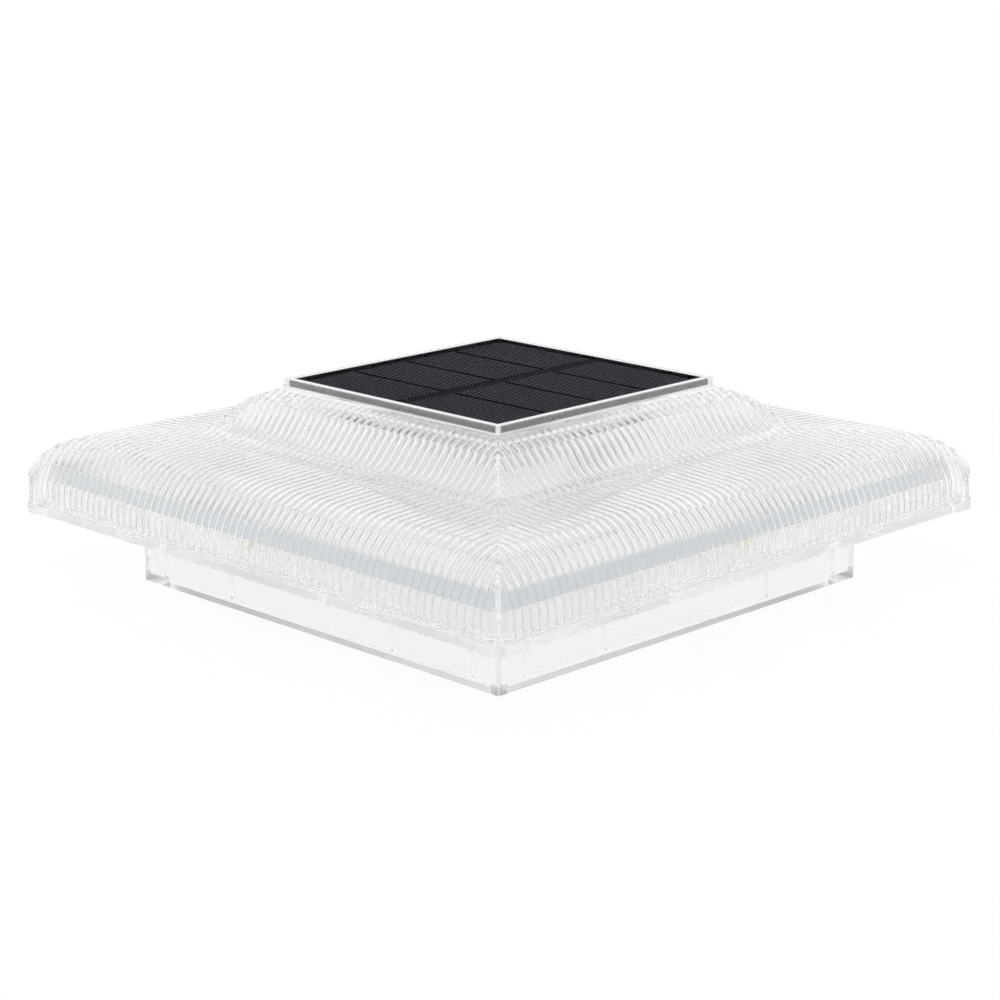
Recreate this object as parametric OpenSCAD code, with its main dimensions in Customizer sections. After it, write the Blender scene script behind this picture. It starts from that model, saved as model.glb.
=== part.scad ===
// Solar post cap light: a clear fluted cover with a solar panel on top, on a clear tray
// with a square collar that slips over a railing post.
// The origin is the middle of the collar's bottom edge. Z points up and the four sides
// lie square to X and Y. All sizes are in millimetres.

/* [Post collar] */
// Width of the post that the collar slips over
post_w = 101.6; // [85:0.1:104]
// Play between the post and the sleeve on each side
post_play = 0.7; // [0.3:0.1:1.5]
// Wall of the inner sleeve that grips the post
sleeve_wall = 1.4; // [1:0.1:2]
// Gap between the sleeve and the outer skin
collar_gap = 2.9; // [2:0.1:4]
// Wall of the outer skin
skin_wall = 1.2; // [0.8:0.1:2]
// Height of the collar, which is how far the post goes in
collar_h = 16.4; // [12:0.2:30]
// Thickness of the collar's floor between the skin and the sleeve
collar_floor = 1.8; // [1:0.1:3]
// Thickness of the ribs that join the skin to the sleeve
collar_rib_t = 1.5; // [1:0.1:2.5]
// Distance from the middle of a side to its inner two ribs
inner_rib_x = 26; // [15:0.5:35]
// Distance from the sleeve's corner in to the outer ribs
corner_rib_in = 3.4; // [2:0.1:6]
// Corner radius of the outer skin
collar_corner_r = 0.4; // [0.2:0.1:3]

/* [Tray] */
// Thickness of the tray's plate
tray_t = 2.2; // [1.8:0.1:4]
// How far the tray's edge stands back from the cover's lip
tray_inset = 0.8; // [0.4:0.1:1.2]
// Length of the full-width block at each end of a side
corner_block = 8; // [6:0.5:15]
// Height of the wall that stands up inside the cover
upstand_h = 4.8; // [3:0.1:5.5]
// Thickness of that wall, and of the diffuser that stands on it
upstand_wall = 1.2; // [0.8:0.1:2]
// Gap between that wall and the inside of the cover
upstand_gap = 2.2; // [1.8:0.1:3.5]
// Distance from the middle of a side to its two snap windows
snap_x = 39; // [32:0.5:58]
// Width of a snap window
snap_w = 6.7; // [4:0.1:10]
// Height of a snap window below the cover
snap_h = 1.4; // [0.8:0.1:1.6]
// Distance from the middle of a side to its two drain notches
drain_x = 25.7; // [12:0.1:28]
// Width of a drain notch
drain_w = 2.5; // [1.5:0.1:4]

/* [Cover] */
// Width of the cover's side walls, from face to face
cover_w = 151.2; // [146:0.2:170]
// How far the lip at the cover's foot stands out
lip_out = 0.4; // [0.2:0.1:1.5]
// Height of that lip
lip_h = 0.8; // [0.5:0.1:2]
// Wall thickness of the clear cover
cover_wall = 2; // [1.6:0.1:2.4]
// Plan radius of the cover's upright corners
cover_corner_r = 2.5; // [2.2:0.1:5]
// Radius of the outer shoulder
shoulder_r = 12.6; // [9:0.2:13.4]
// Height of the shelf above the cover's foot, at the edge of the dome
shelf_rise = 16.4; // [15.8:0.1:20]
// Fall of the shelf towards the shoulder, in degrees
shelf_slope = 3.5; // [1:0.5:5]
// Distance from the panel's rim to the foot of the dome
dome_spread = 12.1; // [10.5:0.1:16]
// Slope of the dome's side, in degrees
dome_slope = 52; // [45:1:58]
// Radius where the dome rises from the shelf
dome_foot_r = 9; // [5:0.5:11]
// Radius over the top of the dome
dome_top_r = 12; // [7:0.5:13]
// Slope of the dome's top up to the panel's rim, in degrees
crown_slope = 22; // [15:1:26]
// Height above the cover's foot at which the crown meets the panel's rim
crown_rise = 26.2; // [25.9:0.1:27]
// Radius where the crown turns up into the panel's rim
rim_foot_r = 1.2; // [0.5:0.1:1.4]
// Wall of the rim round the panel
rim_wall = 0.7; // [0.5:0.1:1.5]
// Height of the panel's seat above the cover's foot
seat_rise = 25.6; // [25.2:0.1:26]
// Width of the tab in the middle of each side
tab_w = 6.4; // [4:0.2:10]
// Height of that tab above the lip
tab_h = 1.5; // [0.5:0.1:2]

/* [Solar panel] */
// Width of the panel's silver frame
panel_w = 66; // [60:0.5:70]
// Height of that frame
panel_h = 2; // [1.8:0.1:4]
// Width of the frame's bright top edge
panel_edge = 0.9; // [0.6:0.1:2]
// Thickness of the frame's floor
panel_floor = 0.4; // [0.3:0.1:0.6]
// Play between the frame and the cover's rim
panel_play = 0.1; // [0.05:0.05:0.3]
// Thickness of the adhesive foam under the frame
tape_t = 0.5; // [0.3:0.1:1]
// Width of the adhesive foam
tape_w = 5; // [3:0.5:10]
// Thickness of the panel's backing board
backing_t = 0.6; // [0.4:0.1:0.8]
// Thickness of a solar cell
cell_t = 0.2; // [0.15:0.05:0.3]
// How far the top glass lies below the frame's edge
glass_drop = 0.05; // [0.02:0.01:0.2]
// Border between the frame and the cells
cell_border = 1.4; // [0.5:0.1:4]
// Width of the dark band between the two columns of cells
cell_band = 3.4; // [1:0.1:6]
// Gap between the rows of cells
cell_gap = 1; // [0.4:0.1:2]
// Rows of cells
cell_rows = 4; // [2:1:6]

/* [Battery] */
// Diameter of the rechargeable cell
battery_d = 14.5; // [10.5:0.1:16]
// Length of the cell with its button
battery_l = 50.5; // [44.5:0.1:52]
// Diameter of the cell's button
button_d = 5.5; // [3:0.1:6]
// Length of the cell's button
button_h = 1; // [0.5:0.1:1.5]
// Distance of the cell's axis from the middle of the light
battery_y = 17; // [14.5:0.5:20]
// Length that the contact spring takes
spring_l = 5.8; // [4:0.1:7]
// Diameter of the contact spring at its base
spring_d = 8; // [6:0.1:10]
// Diameter of the spring's wire
spring_wire = 0.7; // [0.5:0.05:0.9]
// Turns of the contact spring
spring_turns = 4; // [3:1:5]
// Thickness of a contact plate
contact_t = 0.5; // [0.3:0.1:0.8]
// Wall of the battery box
box_wall = 1.4; // [1:0.1:2]
// Play round the cell
battery_play = 0.6; // [0.4:0.1:1]
// Thickness of the battery lid
lid_t = 1.6; // [1.4:0.1:1.9]
// How far the lid overlaps the opening along its sides
lid_side = 4; // [3:0.1:5]
// Width of the lid outside the head of a screw
lid_margin = 0.8; // [0.5:0.1:2]
// Play between the lid and its recess
lid_play = 0.3; // [0.15:0.05:0.5]
// Thickness of the lid's rubber seal
lid_seal_t = 0.4; // [0.3:0.1:0.8]
// Height of the raised pad round the battery opening
pad_h = 1.4; // [1:0.1:2.5]

/* [Circuit board] */
// Length of the board
board_l = 44; // [40:1:60]
// Width of the board
board_w = 30; // [28:1:34]
// Thickness of the board
board_t = 1.6; // [1:0.1:2]
// Distance of the board's middle from the middle of the light
board_y = 23; // [22:0.5:26]
// Height of the board above the tray
board_rise = 4.8; // [4.6:0.1:7]
// Diameter of the posts that carry the board
board_post_d = 5; // [4:0.1:6]
// Distance from the board's edge to its screws
board_screw_edge = 4; // [3:0.1:5]
// Size of the integrated circuit along X
chip_l = 5; // [4:0.1:6]
// Diameter of the charging coil
coil_d = 6; // [4:0.1:8]
// Height of the charging coil
coil_h = 5; // [3:0.1:7]
// Diameter of a capacitor
cap_d = 4.4; // [3:0.1:5]
// Height of a capacitor
cap_h = 5.5; // [3:0.1:7]
// Diameter of an insulated lead
lead_d = 1.2; // [0.8:0.1:1.4]
// Diameter of the wires that feed the lights
led_wire_d = 0.8; // [0.5:0.1:1]

/* [Lights] */
// Length of a light board
led_board_l = 12; // [9:0.5:16]
// Thickness of a light board
led_board_t = 1; // [0.8:0.1:1.2]
// Size of a light package along the side
led_l = 3.5; // [2.5:0.1:5]
// Height of a light package
led_h = 2.8; // [2:0.1:3]
// Thickness of a light package
led_t = 0.7; // [0.5:0.1:0.9]
// Height of the diffuser band above the upstand
diffuser_h = 3.4; // [2:0.1:4]

/* [Switch] */
// Length of the switch's case
switch_l = 9; // [8:0.1:12]
// Width of the switch's case
switch_w = 4.4; // [4:0.1:6]
// Distance from the switch's case to the tray
switch_gap = 1.2; // [0.8:0.1:1.4]
// Length of the slider's knob
knob_l = 3.4; // [2.5:0.1:4]
// Width of the slider's knob
knob_w = 3; // [2:0.1:3.4]
// Travel of the slider from off to on
switch_travel = 2.5; // [1.5:0.1:3]

/* [Fasteners] */
// Diameter of a screw's shank
screw_d = 2; // [1.6:0.1:2.5]
// Diameter of a screw's head
screw_head_d = 3.8; // [3:0.1:4]
// Height of a screw's head
screw_head_h = 0.8; // [0.6:0.1:0.9]

/* [Hidden] */
$fn = 48;

// A cut runs this far past the face that it opens
past = 0.5;
// Radial clearance of a screw in its hole
screw_play = 0.05;
// Space left between two pieces that lie side by side
side_play = 0.15;
// Space left past the tip of a screw in its pilot hole
pilot_spare = 1;
// Wall round a screw in its boss, and gap between a boss and the battery box
boss_wall = 1.4;
boss_gap = 0.35;
// Four sides of the light, as quarter turns
SIDES = [0, 90, 180, 270];
// Both ends of a side
ENDS = [-1, 1];

// Half widths of the collar's walls, from the post outwards
opening_half = post_w / 2 + post_play;
sleeve_half = opening_half + sleeve_wall;
skin_in_half = sleeve_half + collar_gap;
skin_half = skin_in_half + skin_wall;
outer_rib_x = sleeve_half - corner_rib_in;
// Corner radius of the post's opening and of the sleeve
opening_r = 1;
sleeve_r = opening_r + sleeve_wall;

// Levels, from the bottom up
tray_z = collar_h;
foot_z = tray_z + tray_t;
shelf_z = foot_z + shelf_rise;
crown_z = foot_z + crown_rise;
seat_z = foot_z + seat_rise;
panel_z = seat_z + tape_t;
top_z = panel_z + panel_h;

// Half widths of the cover
wall_half = cover_w / 2;
lip_half = wall_half + lip_out;
tray_half = lip_half - tray_inset;
upstand_half = wall_half - cover_wall - upstand_gap;
// Depth of the windows and notches, in from the tray's edge
edge_cut = 2;
// The snap tongues are this much thinner than the cover's wall on each face, and
// this much narrower than their windows on each side
tongue_step = 0.4;
tongue_play = 0.3;
neck_half = panel_w / 2 + panel_play + rim_wall;
dome_half = neck_half + dome_spread;

// Corners of the cover's section before they are rounded, from the foot up to the rim
shoulder_corner = [wall_half, shelf_z - (wall_half - dome_half) * tan(shelf_slope)];
dome_foot_corner = [dome_half, shelf_z];
neck_corner = [neck_half, crown_z];
// Distance from the dome's foot to the corner where its side meets the crown
dome_side_l = (crown_z - shelf_z - dome_spread * tan(crown_slope))
    / (sin(dome_slope) - cos(dome_slope) * tan(crown_slope));
dome_top_corner = dome_foot_corner + dome_side_l * [-cos(dome_slope), sin(dome_slope)];
section_corners = [
    [wall_half, foot_z], shoulder_corner, dome_foot_corner,
    dome_top_corner, neck_corner, [neck_half, top_z]
];
corner_radii = [0, shoulder_r, dome_foot_r, dome_top_r, rim_foot_r, 0];
// Facets along each rounded stretch of the section
arc_steps = 10;
// Level of the cover's flat inner roof, under the panel's seat
roof_z = seat_z - cover_wall;

// Battery bay: the opening in the tray and the box over it
bay_l = battery_l + spring_l + 2 * contact_t;
bay_w = battery_d + 2 * battery_play;
pad_z = foot_z + pad_h;
lid_top_z = tray_z + lid_t;
ledge_z = lid_top_z + lid_seal_t;
// Height of the cell's lowest line over the lid
battery_lift = 0.9;
battery_z = lid_top_z + battery_lift + battery_d / 2;
bay_roof_z = battery_z + battery_d / 2 + battery_play / 2;
// Distance of the lid's screws from the middle of the lid
lid_screw_x = bay_l / 2 + box_wall + screw_d / 2 + boss_wall + boss_gap;
// Height of the screws' bosses over the pad
lid_boss_h = 3.5;
// The play round a screw and its head in the lid
lid_hole_play = 0.1;
lid_l = 2 * (lid_screw_x + screw_head_d / 2 + lid_hole_play + lid_margin);
lid_w = bay_w + 2 * lid_side;
// How far the pad reaches past the lid
pad_margin = 2;
// Level of the lid screws' tips
lid_screw_tip = pad_z + lid_boss_h - 2 * pilot_spare;

// Side wall of the bay towards the board, and height of the battery leads' ends there
bay_side_y = -battery_y + bay_w / 2;
battery_lead_rise = 4;
battery_lead_z = battery_z + battery_lead_rise;
// Width and height of a contact plate
contact_size = [bay_w - 2 * side_play, battery_d - 2];
// Sides of the spring's wire, its rings in one turn, and how much narrower its last turn is
spring_sides = 6;
spring_steps = 16;
spring_taper = 0.45;
// How far the spring's first turn is let into its plate, which is also its play at the cell
spring_bite = 0.1;

// Board
board_z = foot_z + board_rise;
board_top_z = board_z + board_t;
board_screw_x = board_l / 2 - board_screw_edge;
board_screw_y = board_w / 2 - board_screw_edge;
board_holes = [for (i = ENDS, j = ENDS) [i * board_screw_x, board_y + j * board_screw_y]];
// Depth of the pilot hole under each board screw
board_pilot = 4;
// Radial play of a screw in the board's own hole
board_hole_play = 0.2;
// Places of the parts on the board, from the board's middle
chip_at = [-9, -6];
coil_at = [8, -6];
cap_at = [[-10, 4], [10, 4]];
resistor_at = [[-3, -9], [-3, -6], [2, -9], [2, -3]];
resistor_size = [1.6, 0.8, 0.5];
chip_w = 4;
chip_h = 1.6;
chip_lift = 0.1;
leg_pitch = 1.27;
leg_size = [0.4, 1, 0.6];
// Distance of the leads' pads from the board's edges
board_pad_in = 2;
lead_hole_l = 9;
lead_hole_w = 4.4;
// Height and overhang of the lead plug's flange under the roof
plug_flange = 1;

// Panel stack
panel_in = panel_w - 2 * panel_edge;
// Leads from the panel go straight down to the board, clear of the foam
lead_clearance = 1;
panel_lead_x = 2.5;
panel_lead_y = panel_in / 2 - tape_w - lead_clearance;
backing_z = panel_z + panel_floor;
cells_z = backing_z + backing_t;
glass_z = cells_z + cell_t;
glass_top_z = top_z - glass_drop;
cell_field = panel_in - 2 * cell_border;
cell_l = (cell_field - cell_band) / 2;
cell_w = (cell_field - (cell_rows - 1) * cell_gap) / cell_rows;

// Lights, measured outwards from the middle along each side's own axis
led_phosphor_t = 0.15;
led_room = 0.35;
led_front = upstand_half - upstand_wall - led_room;
led_package_y = led_front - led_phosphor_t - led_t;
led_board_y = led_package_y - led_board_t;
// Each board carries, from the bottom up, two wires and the light's package
led_board_lift = 0.3;
led_space = 0.1;
led_board_z = foot_z + led_board_lift;
wire_levels = [for (k = [0, 1]) led_board_z + (k + 0.5) * led_wire_d + (k + 1) * led_space];
led_z = wire_levels[1] + led_wire_d / 2 + led_space + led_h / 2;
led_board_h = led_z + led_h / 2 + led_board_lift - led_board_z;
// The yellow face, as a border inside the package
led_border = 0.45;
rail_t = 1.2;
rail_h = 4;

// Switch
switch_h = board_rise - switch_gap;
switch_z = board_z - switch_h;
// Rest position of the slider, which is off
slider_x = -switch_travel / 2;
// The knob stops this far inside the tray's underside
knob_recess = 0.3;
stem_size = [1.6, 1.6];
stem_h = 1.4;
stem_play = 0.3;
// Play round the knob in the tray's slot at the ends of its travel, and at its sides
knob_end_play = 1;
knob_side_play = 0.5;

function unit(v) = v / norm(v);

// Normal on the left of the way from a to b
function left_of(a, b) = let(u = unit(b - a)) [-u[1], u[0]];

function cross_of(a, b) = a[0] * b[1] - a[1] * b[0];

function turned(v, angle) = [
    v[0] * cos(angle) - v[1] * sin(angle),
    v[0] * sin(angle) + v[1] * cos(angle)
];

// Corner b moved inwards by t from both of its edges
function inset_corner(a, b, c, t) =
    let(n1 = left_of(a, b), n2 = left_of(b, c))
    b + t * (n1 + n2) / (1 + n1 * n2);

// Points of the arc of radius r that rounds corner b
function rounded(a, b, c, r) =
    let(
        u = unit(a - b),
        v = unit(c - b),
        half_angle = acos(u * v) / 2,
        start = b + u * r / tan(half_angle),
        centre = b + unit(u + v) * r / sin(half_angle),
        way = sign(cross_of(b - a, c - b)),
        sweep = way * (180 - 2 * half_angle)
    )
    [for (i = [0:arc_steps]) centre + turned(start - centre, sweep * i / arc_steps)];

// Rounded corners first to last of the section, all moved inwards by t
function section_run(first, last, t) = [
    for (i = [first:last])
        let(
            a = section_corners[i - 1],
            b = section_corners[i],
            c = section_corners[i + 1],
            way = sign(cross_of(b - a, c - b)),
            moved = inset_corner(a, b, c, t),
            arc = rounded(moved + (a - b), moved, moved + (c - b), corner_radii[i] - way * t)
        )
        each arc
];

// Point at height z on the crown's line, moved inwards by t
function crown_point(z, t) =
    let(
        p = inset_corner(dome_foot_corner, dome_top_corner, neck_corner, t),
        rise = z - p[1]
    )
    [p[0] - rise / tan(crown_slope), z];

function both_sides(half) = concat(half, [for (i = [len(half) - 1:-1:0]) [-half[i][0], half[i][1]]]);

outer_section = both_sides(concat(
    [[wall_half, foot_z]],
    section_run(1, 4, 0),
    [[neck_half, top_z]]
));
inner_section = both_sides(concat(
    [[wall_half - cover_wall, foot_z - past]],
    section_run(1, 3, cover_wall),
    [crown_point(roof_z, cover_wall)]
));

// Square with round corners, drawn in the plane
module rounded_square(w, r) {
    square([w, w - 2 * r], center = true);
    square([w - 2 * r, w], center = true);
    for (i = ENDS, j = ENDS)
        translate([i * (w / 2 - r), j * (w / 2 - r)])
            circle(r = r);
}

// Upright slab from z = low to z = high
module slab(w, r, low, high) {
    translate([0, 0, low])
        linear_extrude(height = high - low)
            rounded_square(w, r);
}

// Upright square ring between two half widths
module ring(half_out, half_in, r_out, r_in, low, high) {
    difference() {
        slab(2 * half_out, r_out, low, high);
        slab(2 * half_in, r_in, low - past, high + past);
    }
}

// Block centred on x and y, from z = low to z = high
module block(x, y, l, w, low, high) {
    translate([x - l / 2, y - w / 2, low])
        cube([l, w, high - low]);
}

module post(x, y, d, low, high) {
    translate([x, y, low])
        cylinder(d = d, h = high - low);
}

// A section swept both along X and along Y, which mitres it at the four corners
module two_way(section, w) {
    intersection_for (turn = [0, 90])
        rotate([90, 0, turn])
            linear_extrude(height = w, center = true)
                polygon(section);
}

// Straight round bar from point a to point b
module bar(a, b, d) {
    v = b - a;
    translate(a)
        rotate([0, acos(v[2] / norm(v)), atan2(v[1], v[0])])
            cylinder(d = d, h = norm(v));
}

// Screw that enters upwards, its head's outer face at z = low
module screw(x, y, low, length) {
    post(x, y, screw_head_d, low, low + screw_head_h);
    post(x, y, screw_d, low + screw_head_h - past / 2, low + length);
}

// Clear collar: sleeve, floor, skin and the ribs between them
module post_collar() {
    color([0.86, 0.88, 0.9, 0.4]) {
        difference() {
            slab(2 * skin_half, collar_corner_r, 0, tray_z);
            slab(2 * opening_half, opening_r, -past, tray_z + past);
            ring(skin_in_half, sleeve_half, collar_corner_r / 2, sleeve_r,
                collar_floor, tray_z + past);
        }
        for (turn = SIDES, i = ENDS, x = [inner_rib_x, outer_rib_x])
            rotate([0, 0, turn])
                block(i * x, (sleeve_half + skin_in_half) / 2, collar_rib_t,
                    collar_gap + skin_wall, collar_floor / 2, tray_z);
    }
}

// Battery bay, lid recess and lid screws cut out of the tray
module battery_bay_cuts() {
    block(0, -battery_y, bay_l, bay_w, tray_z - past, pad_z + past);
    block(0, -battery_y, lid_l + 2 * lid_play, lid_w + 2 * lid_play, tray_z - past, ledge_z);
    for (i = ENDS)
        post(i * lid_screw_x, -battery_y, screw_d + 2 * screw_play, tray_z, lid_screw_tip + pilot_spare);
}

// Rails that hold one light board by its two ends
module led_rails() {
    for (i = ENDS)
        difference() {
            block(i * led_board_l / 2, led_board_y + led_board_t / 2, 2 * rail_t,
                led_board_t + 2 * rail_t, foot_z - past / 2, foot_z + rail_h);
            block(0, led_board_y + led_board_t / 2, led_board_l + 2 * side_play,
                led_board_t + 2 * side_play, led_board_z - side_play, foot_z + rail_h + past);
            for (z = wire_levels)
                bar([-led_board_l, led_board_y + led_board_t + led_wire_d / 2, z],
                    [led_board_l, led_board_y + led_board_t + led_wire_d / 2, z],
                    led_wire_d + 2 * side_play);
        }
}

// Clear tray under the cover, with its windows, notches, bosses and rails
module base_tray() {
    boss_d = screw_d + 2 * boss_wall;
    color([0.88, 0.9, 0.92, 0.4])
        difference() {
            union() {
                slab(2 * tray_half, cover_corner_r, tray_z, foot_z);
                intersection() {
                    slab(2 * lip_half, cover_corner_r, tray_z, foot_z);
                    for (i = ENDS, j = ENDS)
                        block(i * lip_half, j * lip_half, 2 * corner_block, 2 * corner_block,
                            tray_z - past, foot_z + past);
                }
                ring(upstand_half, upstand_half - upstand_wall, cover_corner_r, cover_corner_r / 2,
                    foot_z - past / 2, foot_z + upstand_h);
                block(0, -battery_y, lid_l + 2 * pad_margin, lid_w + 2 * pad_margin,
                    foot_z - past / 2, pad_z);
                for (i = ENDS)
                    post(i * lid_screw_x, -battery_y, boss_d, foot_z, pad_z + lid_boss_h);
                for (p = board_holes)
                    post(p[0], p[1], board_post_d, foot_z - past / 2, board_z);
                for (turn = SIDES)
                    rotate([0, 0, turn])
                        led_rails();
            }
            battery_bay_cuts();
            for (p = board_holes)
                post(p[0], p[1], screw_d + 2 * screw_play, board_z - board_pilot, board_z + past);
            block(0, board_y, knob_l + switch_travel + 2 * knob_end_play, knob_w + 2 * knob_side_play,
                tray_z - past, foot_z + past);
            for (turn = SIDES, i = ENDS)
                rotate([0, 0, turn]) {
                    block(i * snap_x, tray_half, snap_w, 2 * edge_cut, foot_z - snap_h, foot_z + past);
                    block(i * drain_x, tray_half, drain_w, 2 * edge_cut, tray_z - past, foot_z + past);
                }
        }
}

// Soft gasket that lies on the tray between its upstand and the cover
module cover_seal() {
    seal_h = 1;
    color([0.93, 0.93, 0.93])
        ring(wall_half - cover_wall - side_play, upstand_half + side_play,
            cover_corner_r / 2, cover_corner_r + side_play, foot_z, foot_z + seal_h);
}

// Blue-grey band that spreads the light, standing on the tray's upstand
module diffuser_ring() {
    color([0.72, 0.77, 0.82])
        ring(upstand_half, upstand_half - upstand_wall, cover_corner_r, cover_corner_r / 2,
            foot_z + upstand_h, foot_z + upstand_h + diffuser_h);
}

// One snap tongue, on the side that faces +Y
module snap_tongue(x) {
    tongue_y = wall_half - cover_wall / 2;
    block(x, tongue_y, snap_w - 2 * tongue_play, cover_wall - 2 * tongue_step,
        foot_z - snap_h + side_play, foot_z + past);
}

// Clear cover with its shoulder, shelf, dome, panel seat and snap tongues
module cover() {
    sweep_w = 2 * (lip_half + past);
    seat_w = panel_w + 2 * panel_play;
    color([0.9, 0.92, 0.94, 0.35])
        difference() {
            union() {
                intersection() {
                    two_way(outer_section, sweep_w);
                    slab(cover_w, cover_corner_r, foot_z - past, top_z + past);
                }
                slab(2 * lip_half, cover_corner_r, foot_z, foot_z + lip_h);
                for (turn = SIDES)
                    rotate([0, 0, turn])
                        block(0, lip_half - cover_wall / 2, tab_w, cover_wall,
                            foot_z, foot_z + lip_h + tab_h);
                for (turn = SIDES, i = ENDS)
                    rotate([0, 0, turn])
                        snap_tongue(i * snap_x);
            }
            intersection() {
                two_way(inner_section, sweep_w);
                slab(cover_w - 2 * cover_wall, cover_corner_r / 2, foot_z - 2 * past, roof_z + past);
            }
            block(0, 0, seat_w, seat_w, seat_z, top_z + past);
            block(0, panel_lead_y, lead_hole_l, lead_hole_w, roof_z - past, seat_z + past);
        }
}

// Adhesive foam frame between the panel and its seat
module panel_tape() {
    inset = 0.5;
    outer_w = panel_w - 2 * inset;
    inner_w = outer_w - 2 * tape_w;
    color([0.92, 0.92, 0.92])
        difference() {
            block(0, 0, outer_w, outer_w, seat_z, panel_z);
            block(0, 0, inner_w, inner_w, seat_z - past, panel_z + past);
        }
}

// Silver frame of the panel, a shallow tray with a hole for the leads
module panel_frame() {
    color([0.62, 0.63, 0.65])
        difference() {
            block(0, 0, panel_w, panel_w, panel_z, top_z);
            block(0, 0, panel_in, panel_in, backing_z, top_z + past);
            for (i = ENDS)
                post(i * panel_lead_x, panel_lead_y, lead_d + 2 * side_play,
                    panel_z - past, backing_z + past);
        }
}

// Board that carries the solar cells
module panel_backing() {
    color([0.05, 0.06, 0.09])
        block(0, 0, panel_in, panel_in, backing_z, cells_z);
}

// Two columns of solar cells
module solar_cells() {
    color([0.07, 0.08, 0.13])
        for (i = ENDS, row = [0:cell_rows - 1])
            block(i * (cell_band + cell_l) / 2,
                -cell_field / 2 + cell_w / 2 + row * (cell_w + cell_gap),
                cell_l, cell_w, cells_z, glass_z);
}

// Clear sheet over the cells
module panel_glass() {
    color([0.1, 0.11, 0.16, 0.5])
        block(0, 0, panel_in, panel_in, glass_z, glass_top_z);
}

// Pair of leads from the panel straight down to the board
module panel_leads() {
    color([0.88, 0.88, 0.88])
        for (i = ENDS)
            post(i * panel_lead_x, panel_lead_y, lead_d, board_top_z, backing_z);
}

// Silicone plug that seals the leads' hole in the roof
module lead_plug() {
    color([0.9, 0.9, 0.88])
        difference() {
            union() {
                block(0, panel_lead_y, lead_hole_l - 2 * side_play, lead_hole_w - 2 * side_play,
                    roof_z, seat_z);
                block(0, panel_lead_y, lead_hole_l + 2 * plug_flange, lead_hole_w + 2 * plug_flange,
                    roof_z - plug_flange, roof_z);
            }
            for (i = ENDS)
                post(i * panel_lead_x, panel_lead_y, lead_d + side_play,
                    roof_z - plug_flange - past, seat_z + past);
        }
}

// Ends of one battery lead: on its contact plate, and on its pad on the board
function battery_lead_ends(i) = [
    [i * (bay_l / 2 - contact_t - lead_d / 2), bay_side_y - lead_d / 2 - side_play, battery_lead_z],
    [i * (board_l / 2 - board_pad_in), board_y - board_w / 2 + board_pad_in, board_top_z + lead_d / 2]
];

// Box over the cell, open below where the lid closes it
module battery_box() {
    color([0.93, 0.93, 0.93])
        difference() {
            block(0, -battery_y, bay_l + 2 * box_wall, bay_w + 2 * box_wall, pad_z, bay_roof_z + box_wall);
            block(0, -battery_y, bay_l, bay_w, pad_z - past, bay_roof_z);
            for (i = ENDS)
                bar(battery_lead_ends(i)[0], battery_lead_ends(i)[1], lead_d + 2 * side_play);
        }
}

// Rechargeable cell with its button towards +X
module battery_cell() {
    cell_end = bay_l / 2 - contact_t;
    color([0.85, 0.87, 0.88])
        translate([cell_end, -battery_y, battery_z])
            rotate([0, -90, 0]) {
                cylinder(d = button_d, h = button_h + past);
                translate([0, 0, button_h])
                    cylinder(d = battery_d, h = battery_l - button_h);
            }
}

// Contact plate whose outer face lies at x
module contact_plate(x) {
    translate([x, -battery_y - contact_size[0] / 2, battery_z - contact_size[1] / 2])
        cube([contact_t, contact_size[0], contact_size[1]]);
}

// Ring of points round the spring's wire, at turn angle a
function spring_ring(a) =
    let(
        share = a / (360 * spring_turns),
        r = (spring_d * (1 - spring_taper * share) - spring_wire) / 2,
        x = spring_wire / 2 - spring_bite + share * (spring_l - spring_wire)
    )
    [for (k = [0:spring_sides - 1])
        let(b = 360 * k / spring_sides, q = r + spring_wire / 2 * cos(b))
        [x + spring_wire / 2 * sin(b), q * cos(a), q * sin(a)]];

// Conical spring that presses on the cell's flat end
module contact_spring() {
    count = spring_steps * spring_turns;
    points = [for (i = [0:count]) each spring_ring(360 * i / spring_steps)];
    walls = [for (i = [0:count - 1], k = [0:spring_sides - 1])
        let(k2 = (k + 1) % spring_sides, a = i * spring_sides, b = a + spring_sides)
        each [[a + k, b + k2, b + k], [a + k, a + k2, b + k2]]];
    first_end = [for (k = [spring_sides - 1:-1:0]) k];
    last_end = [for (k = [0:spring_sides - 1]) count * spring_sides + k];
    polyhedron(points, concat(walls, [first_end, last_end]));
}

// Negative contact: a plate against the box and its conical spring
module negative_contact() {
    color([0.78, 0.76, 0.7]) {
        contact_plate(-bay_l / 2);
        translate([-bay_l / 2 + contact_t, -battery_y, battery_z])
            contact_spring();
    }
}

// Positive contact: a plate that the cell's button presses on
module positive_contact() {
    color([0.78, 0.76, 0.7])
        contact_plate(bay_l / 2 - contact_t);
}

// Leads from the two contacts to the board
module battery_leads() {
    color([0.85, 0.85, 0.85])
        for (i = ENDS)
            bar(battery_lead_ends(i)[0], battery_lead_ends(i)[1], lead_d);
}

// Control board on its four posts
module circuit_board() {
    color([0.9, 0.91, 0.9])
        difference() {
            block(0, board_y, board_l, board_w, board_z, board_top_z);
            for (p = board_holes)
                post(p[0], p[1], screw_d + 2 * board_hole_play, board_z - past, board_top_z + past);
        }
}

// Four screws that hold the board
module board_screws() {
    color([0.7, 0.7, 0.72])
        for (p = board_holes) {
            post(p[0], p[1], screw_head_d, board_top_z, board_top_z + screw_head_h);
            post(p[0], p[1], screw_d, board_z - board_pilot + pilot_spare, board_top_z + past / 2);
        }
}

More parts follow.
